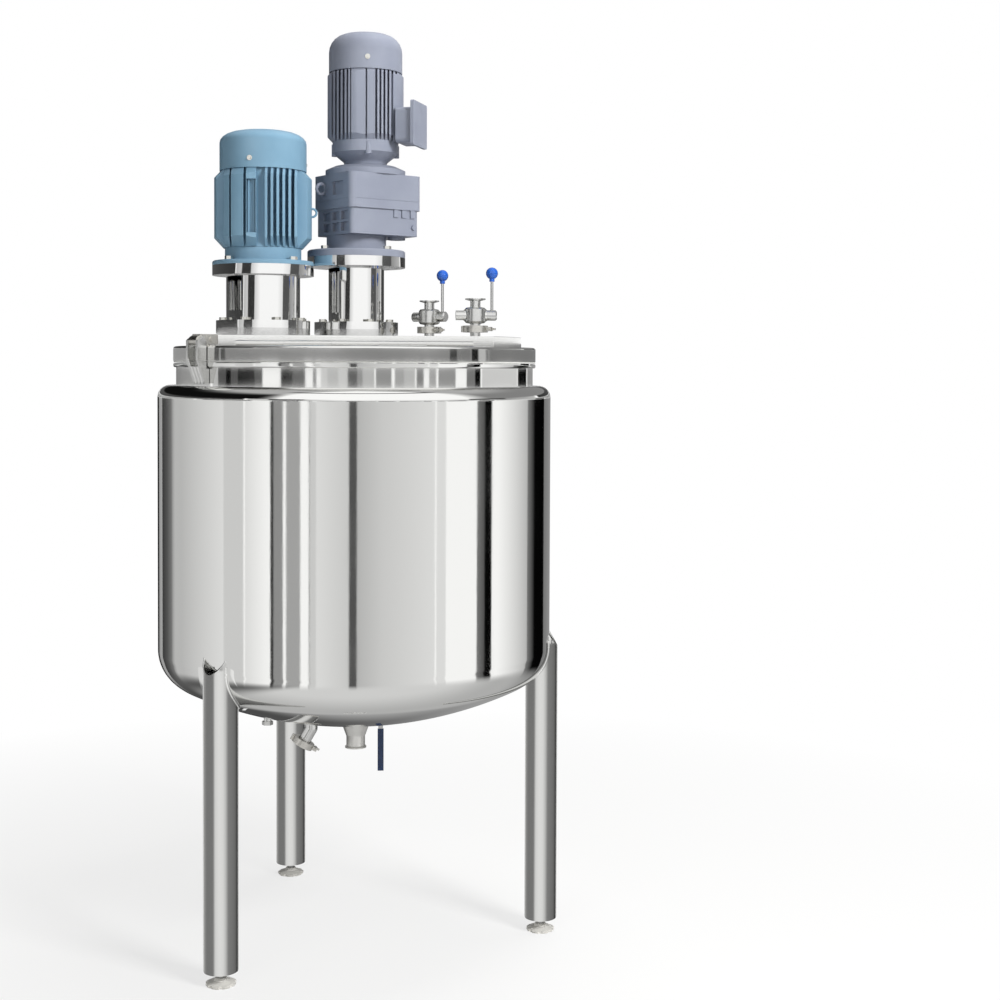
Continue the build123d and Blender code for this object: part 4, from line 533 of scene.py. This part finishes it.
def glowingInside(name, nearMm):
    # A lit flag: it glows on the side its faces turn to and only for what stands near it, and else is clear
    material, tree = newMaterial(name)
    tone = addNode(tree, "ShaderNodeAttribute", {"attribute_name": "tone"})
    side = addNode(tree, "ShaderNodeNewGeometry")
    light = addNode(tree, "ShaderNodeLightPath")
    distant = addNode(tree, "ShaderNodeMath", {"operation": "GREATER_THAN"}, {
        0: light.outputs["Ray Length"], 1: nearMm / 1000})
    unseen = addNode(tree, "ShaderNodeMath", {"operation": "MAXIMUM"}, {
        0: side.outputs["Backfacing"], 1: distant})
    lit = addNode(tree, "ShaderNodeEmission", inputs={"Color": tone, "Strength": 1.0})
    clear = addNode(tree, "ShaderNodeBsdfTransparent")
    mixed = addNode(tree, "ShaderNodeMixShader", inputs={0: unseen, 1: lit, 2: clear})
    addNode(tree, "ShaderNodeOutputMaterial", inputs={"Surface": mixed})
    return material


def glow(grey, share=studioSettings["steelShare"]):
    # The light that steel which reflects this share sends back as this grey, 0 to 255
    return linearLight(np.asarray(grey, float) / 255) / share


def easeBetween(value, edges):
    # 0 below the first edge, 1 above the second, and a smooth step between them
    share = np.clip((value - edges[0]) / (edges[1] - edges[0]), 0, 1)
    return share * share * (3 - 2 * share)


def reflectedTo(across, radius, height):
    # Where the view meets an upright cylinder, bounces, and lands on the studio's wall: angle and height. The
    # ray from the eye meets the circle, is mirrored in the circle's normal and runs on to the wall's circle;
    # its height goes on rising or falling at the same rate
    eye = np.array(cameraSettings["eye"])
    away = -eye[1]
    slope = across * radius / math.sqrt(away ** 2 - radius ** 2)
    ray = np.stack([slope, np.ones_like(slope)], axis=-1) / np.sqrt(1 + slope ** 2)[..., None]
    along = away * ray[..., 1]
    reach = along - np.sqrt(np.maximum(along ** 2 - away ** 2 + radius ** 2, 0))
    point = ray * reach[..., None] + np.array([0.0, -away])
    normal = point / np.linalg.norm(point, axis=-1, keepdims=True)
    bounce = ray - 2 * np.sum(ray * normal, axis=-1, keepdims=True) * normal
    towards = np.sum(point * bounce, axis=-1)
    further = -towards + np.sqrt(towards ** 2 + studioSettings["cardRadius"] ** 2 - radius ** 2)
    landing = point + bounce * further[..., None]
    fall = (height - eye[2]) / reach
    return np.degrees(np.arctan2(landing[..., 0], -landing[..., 1])), height + fall * further


def litSurface(name, points, tones, finish, closeColumns=False):
    # A stage surface that glows with a tone on each of its points, and that only reflections show
    piece = meshPiece(name, points, gridFaces(*points.shape[:2], False, closeColumns))
    colours = piece.data.color_attributes.new("tone", "FLOAT_COLOR", "POINT")
    values = np.repeat(tones.reshape(-1, 1), 4, axis=1)
    values[:, 3] = 1.0
    colours.data.foreach_set("color", values.ravel())
    piece.data.materials.append(finish)
    piece.visible_camera = False
    piece.visible_diffuse = False
    piece.visible_shadow = False
    piece.visible_transmission = False


def uprightRows(x, y, heights):
    # The same plan of points at each height, for a wall between the two
    return np.stack([np.stack([x, y, np.broadcast_to(z, x.shape)], axis=-1) for z in heights])


wallFinish = glowing("litStudioWall")


def cardStops(wall):
    # The ends of each card, with the open wall's tone wherever two cards leave a gap between them
    bare, edge = cardTones[wall["open"]], studioSettings["cardEdge"]
    stops = []
    reached = -1000 * wall["radius"]
    for start, end, *tones in wall["cards"]:
        if start > reached:
            stops += [(reached + edge, bare), (start - edge, bare)]
        stops += [(start + edge, cardTones[tones[0]]), (end - edge, cardTones[tones[-1]])]
        reached = end
    return np.asarray(stops, float)


def wallTones(wall):
    # Fine angles all round, and the glow at each: the stops are carried to where their reflections land
    s = studioSettings
    places, greys = cardStops(wall).T
    share = np.clip(places / (1000 * wall["radius"]), -s["grazing"], s["grazing"])
    angles = np.radians(reflectedTo(share, wall["radius"], wall["low"])[0])
    evenly = np.linspace(-math.pi, math.pi, s["turnSteps"])
    fine = np.unique(np.concatenate([[-math.pi], angles, [math.pi], evenly]))
    return fine, np.interp(fine, angles, glow(greys)), share, angles


def reflectedWall(name, wall, foot=None):
    # Upright on the studio's circle, between the heights to which the ring's lowest and highest points
    # reflect, or from a level foot up
    fine, tones, share, angles = wallTones(wall)
    low = np.interp(fine, angles, reflectedTo(share, wall["radius"], wall["low"])[1])
    high = np.interp(fine, angles, reflectedTo(share, wall["radius"], wall["high"])[1])
    if foot is not None:
        low = np.full_like(low, foot)
    radius = studioSettings["cardRadius"]
    points = uprightRows(radius * np.sin(fine), -radius * np.cos(fine), (low, high))
    litSurface(name, points, np.tile(tones, 2), wallFinish)
    print(name, "stands from", round(float(low.min()), 3), "to", round(float(high.max()), 3))


skySettings = {"base": 1.96, "height": 3.2, "turnSteps": 181, "riseSteps": 81, "front": 250,
               "left": (14, 170), "right": (128, 170), "leftEdge": (-54, -40), "rightEdge": (62, 78),
               "paleFrom": (0.22, 0.5), "railTone": 10, "railRise": (0.585, 0.655), "railTurn": (-60, 75)}


def skyTone(turn, rise):
    # White in front with one dark rail across it, dark on the left and grey on the right, both pale overhead
    s = skySettings
    left = np.interp(turn, s["leftEdge"], (1, 0))
    right = np.interp(turn, s["rightEdge"], (0, 1))
    high = easeBetween(rise, s["paleFrom"])
    sides = [low + (top - low) * high for low, top in (s["left"], s["right"])]
    tone = s["front"] * (1 - left) * (1 - right) + sides[0] * left + sides[1] * right
    rail = (rise > s["railRise"][0]) & (rise < s["railRise"][1])
    rail &= (turn > s["railTurn"][0]) & (turn < s["railTurn"][1])
    return glow(np.where(rail, s["railTone"], tone))


def buildSky():
    # Degrees round and rise from 0 to 1 up a quarter ellipse that starts on top of the walls
    s, radius = skySettings, studioSettings["cardRadius"]
    turn, rise = np.meshgrid(np.linspace(-180, 180, s["turnSteps"]), np.linspace(0, 1, s["riseSteps"]),
                             indexing="ij")
    lean, bearing = rise * math.pi / 2, np.radians(turn)
    points = np.stack([radius * np.cos(lean) * np.sin(bearing), -radius * np.cos(lean) * np.cos(bearing),
                       s["base"] + s["height"] * np.sin(lean)], axis=-1)
    litSurface("studioCeiling", points, skyTone(turn, rise), wallFinish)


groundSettings = {"height": 0.002, "inner": 0.05, "steps": 48, "front": 205, "middle": 172, "left": 85,
                  "rear": (70, 145), "frontEdge": (0.05, 1.0), "leftEdge": (0.75, 1.3),
                  "rearEdge": (0.1, 0.8), "rearAcross": (-0.3, 0.6), "fade": (1.3, 2.2)}


def groundTone(x, y):
    # Palest in front, darker under the tank and behind it, and dark far out to the left
    s = groundSettings
    grey = s["middle"] + (s["front"] - s["middle"]) * easeBetween(-y, s["frontEdge"])
    rear = s["rear"][0] + (s["rear"][1] - s["rear"][0]) * easeBetween(x, s["rearAcross"])
    for edge, dark in ((easeBetween(y, s["rearEdge"]), rear), (easeBetween(-x, s["leftEdge"]), s["left"])):
        grey = grey * (1 - edge) + dark * edge
    return glow(grey)


def buildGround():
    # Angle round and distance out, just above the floor: the jacket wall's tones run on and fade inwards
    fine, tones = wallTones(jacketWall)[:2]
    s = groundSettings
    turn, reach = np.meshgrid(fine, np.linspace(s["inner"], studioSettings["cardRadius"], s["steps"]),
                              indexing="ij")
    x, y = reach * np.sin(turn), -reach * np.cos(turn)
    edge = easeBetween(reach, s["fade"])
    litSurface("studioGroundLight", np.stack([x, y, np.full_like(x, s["height"])], axis=-1),
               groundTone(x, y) * (1 - edge) + tones[:, None] * edge, wallFinish)


# A round flag about each leg, light in front and grey to both sides. Its greys, 0 to 255, go round by degrees
# from the line between the leg and the photograph's viewpoint, and near is how far it reaches, in millimetres
flagSettings = {"radius": 0.06, "near": 46, "low": 0.006, "high": 0.745, "steps": 240, "steelShare": 0.70,
                "tones": (
    (-180, 215), (-158, 210), (-150, 115), (-126, 120), (-121, 200), (-106, 200), (-100, 150), (-84, 130),
    (-72, 112), (-34, 112), (-24, 205), (-8, 216), (9, 210), (20, 185), (32, 120), (73, 100), (88, 55),
    (102, 55), (107, 200), (121, 200), (126, 60), (138, 60), (150, 115), (158, 200), (180, 215))}


def buildLegFlags():
    # An upright cylinder about each leg, which only the leg inside it shows
    s, leg, eye = flagSettings, legSettings, cameraSettings["eye"]
    finish = glowingInside("litLegFlag", s["near"])
    turn = np.linspace(-math.pi, math.pi, s["steps"], endpoint=False)
    around, grey = np.array(s["tones"], float).T
    tones = np.interp(np.degrees(turn), around, glow(grey, s["steelShare"]))
    for number, degrees in enumerate(leg["degrees"]):
        x = leg["circle"] * math.cos(math.radians(degrees))
        y = leg["circle"] * math.sin(math.radians(degrees))
        world = turn + math.atan2(eye[0] - x, y - eye[1])
        points = uprightRows(x + s["radius"] * np.sin(world), y - s["radius"] * np.cos(world),
                             (s["low"], s["high"]))
        litSurface("legFlag%d" % (number + 1), points, np.tile(tones, 2), finish, closeColumns=True)


def buildFloor():
    # Seen direct it pales to white away from the tank, so that floor and background meet unseen
    s = floorSettings
    half = s["size"] / 2
    corners = np.array([[-half, -half, 0], [half, -half, 0], [half, half, 0], [-half, half, 0]])
    floor = meshPiece("studioFloor", corners, np.array([[0, 1, 2, 3]]))
    material, tree = newMaterial("paleStudioFloor")
    light = addNode(tree, "ShaderNodeLightPath")
    place = addNode(tree, "ShaderNodeTexCoord").outputs["Object"]
    distance = addNode(tree, "ShaderNodeVectorMath", {"operation": "LENGTH"}, {0: place}).outputs["Value"]
    fade = addNode(tree, "ShaderNodeMapRange", inputs={
        "Value": distance, "From Min": s["fade"][0], "From Max": s["fade"][1],
        "To Min": 1 - s["shadowShare"]})
    seen = addNode(tree, "ShaderNodeMath", {"operation": "MULTIPLY"}, {
        0: light.outputs["Is Camera Ray"], 1: fade})
    matt = addNode(tree, "ShaderNodeBsdfDiffuse", inputs={"Color": hexColour(s["colour"])})
    white = addNode(tree, "ShaderNodeEmission", inputs={"Color": (1, 1, 1, 1), "Strength": 1.0})
    mixed = addNode(tree, "ShaderNodeMixShader", inputs={0: seen, 1: matt, 2: white})
    addNode(tree, "ShaderNodeOutputMaterial", inputs={"Surface": mixed})
    floor.data.materials.append(material)


def buildWorld():
    # White where it is seen direct, in a reflection or through glass, and a weak light on everything else
    world = bpy.data.worlds.new("studioWorld")
    bpy.context.scene.world = world
    world.use_nodes = True
    tree = world.node_tree
    tree.nodes.clear()
    light = addNode(tree, "ShaderNodeLightPath")
    direct = addNode(tree, "ShaderNodeMath", {"operation": "ADD"}, {
        0: light.outputs["Is Camera Ray"], 1: light.outputs["Is Glossy Ray"]})
    direct = addNode(tree, "ShaderNodeMath", {"operation": "ADD", "use_clamp": True}, {
        0: direct, 1: light.outputs["Is Transmission Ray"]})
    strength = addNode(tree, "ShaderNodeMapRange", inputs={
        "Value": direct, "To Min": studioSettings["ambient"]})
    white = addNode(tree, "ShaderNodeBackground", inputs={"Color": (1, 1, 1, 1), "Strength": strength})
    addNode(tree, "ShaderNodeOutputWorld", inputs={"Surface": white})


reflectedWall("jacketWall", jacketWall, foot=groundSettings["height"])
reflectedWall("neckWall", neckWall)
reflectedWall("skirtWall", skirtWall)
reflectedWall("lanternWall", lanternWall)
buildSky()
buildGround()
buildLegFlags()
buildFloor()
buildWorld()
print("studio built")


lampSettings = {
    "keyLamp": {"place": (3.4, -3.8, 4.0), "target": (0, 0, 1.6), "size": 1.6, "watts": 290},
    "fillLamp": {"place": (-2.4, -4.6, 2.4), "target": (0, 0, 1.3), "size": 2.6, "watts": 40},
    "topLamp": {"place": (0.8, 0.6, 5.2), "target": (0, 0, 1.6), "size": 2.2, "watts": 110}}


def softLamp(name, place, target, size, watts):
    # A square lamp that leans and turns to face its target, and that no reflection shows
    lamp = bpy.data.lights.new(name, "AREA")
    lamp.shape = "SQUARE"
    lamp.size = size
    lamp.energy = watts
    piece = bpy.data.objects.new(name, lamp)
    piece.visible_glossy = False
    piece.location = place
    aim = np.array(target, float) - np.array(place, float)
    piece.rotation_euler = (math.atan2(math.hypot(aim[0], aim[1]), -aim[2]), 0, math.atan2(-aim[0], aim[1]))
    bpy.context.scene.collection.objects.link(piece)


def placeCamera():
    s = cameraSettings
    data = bpy.data.cameras.new("studioCamera")
    data.lens = s["lensMm"]
    data.shift_y = s["shiftY"]
    camera = bpy.data.objects.new("studioCamera", data)
    camera.location = s["eye"]
    camera.rotation_euler = [math.radians(turn) for turn in (90 + s["pitch"], s["roll"], s["yaw"])]
    bpy.context.scene.collection.objects.link(camera)
    bpy.context.scene.camera = camera


for name, settings in lampSettings.items():
    softLamp(name, **settings)
placeCamera()
bpy.context.scene.view_settings.view_transform = "Standard"
print("lamps and camera placed")
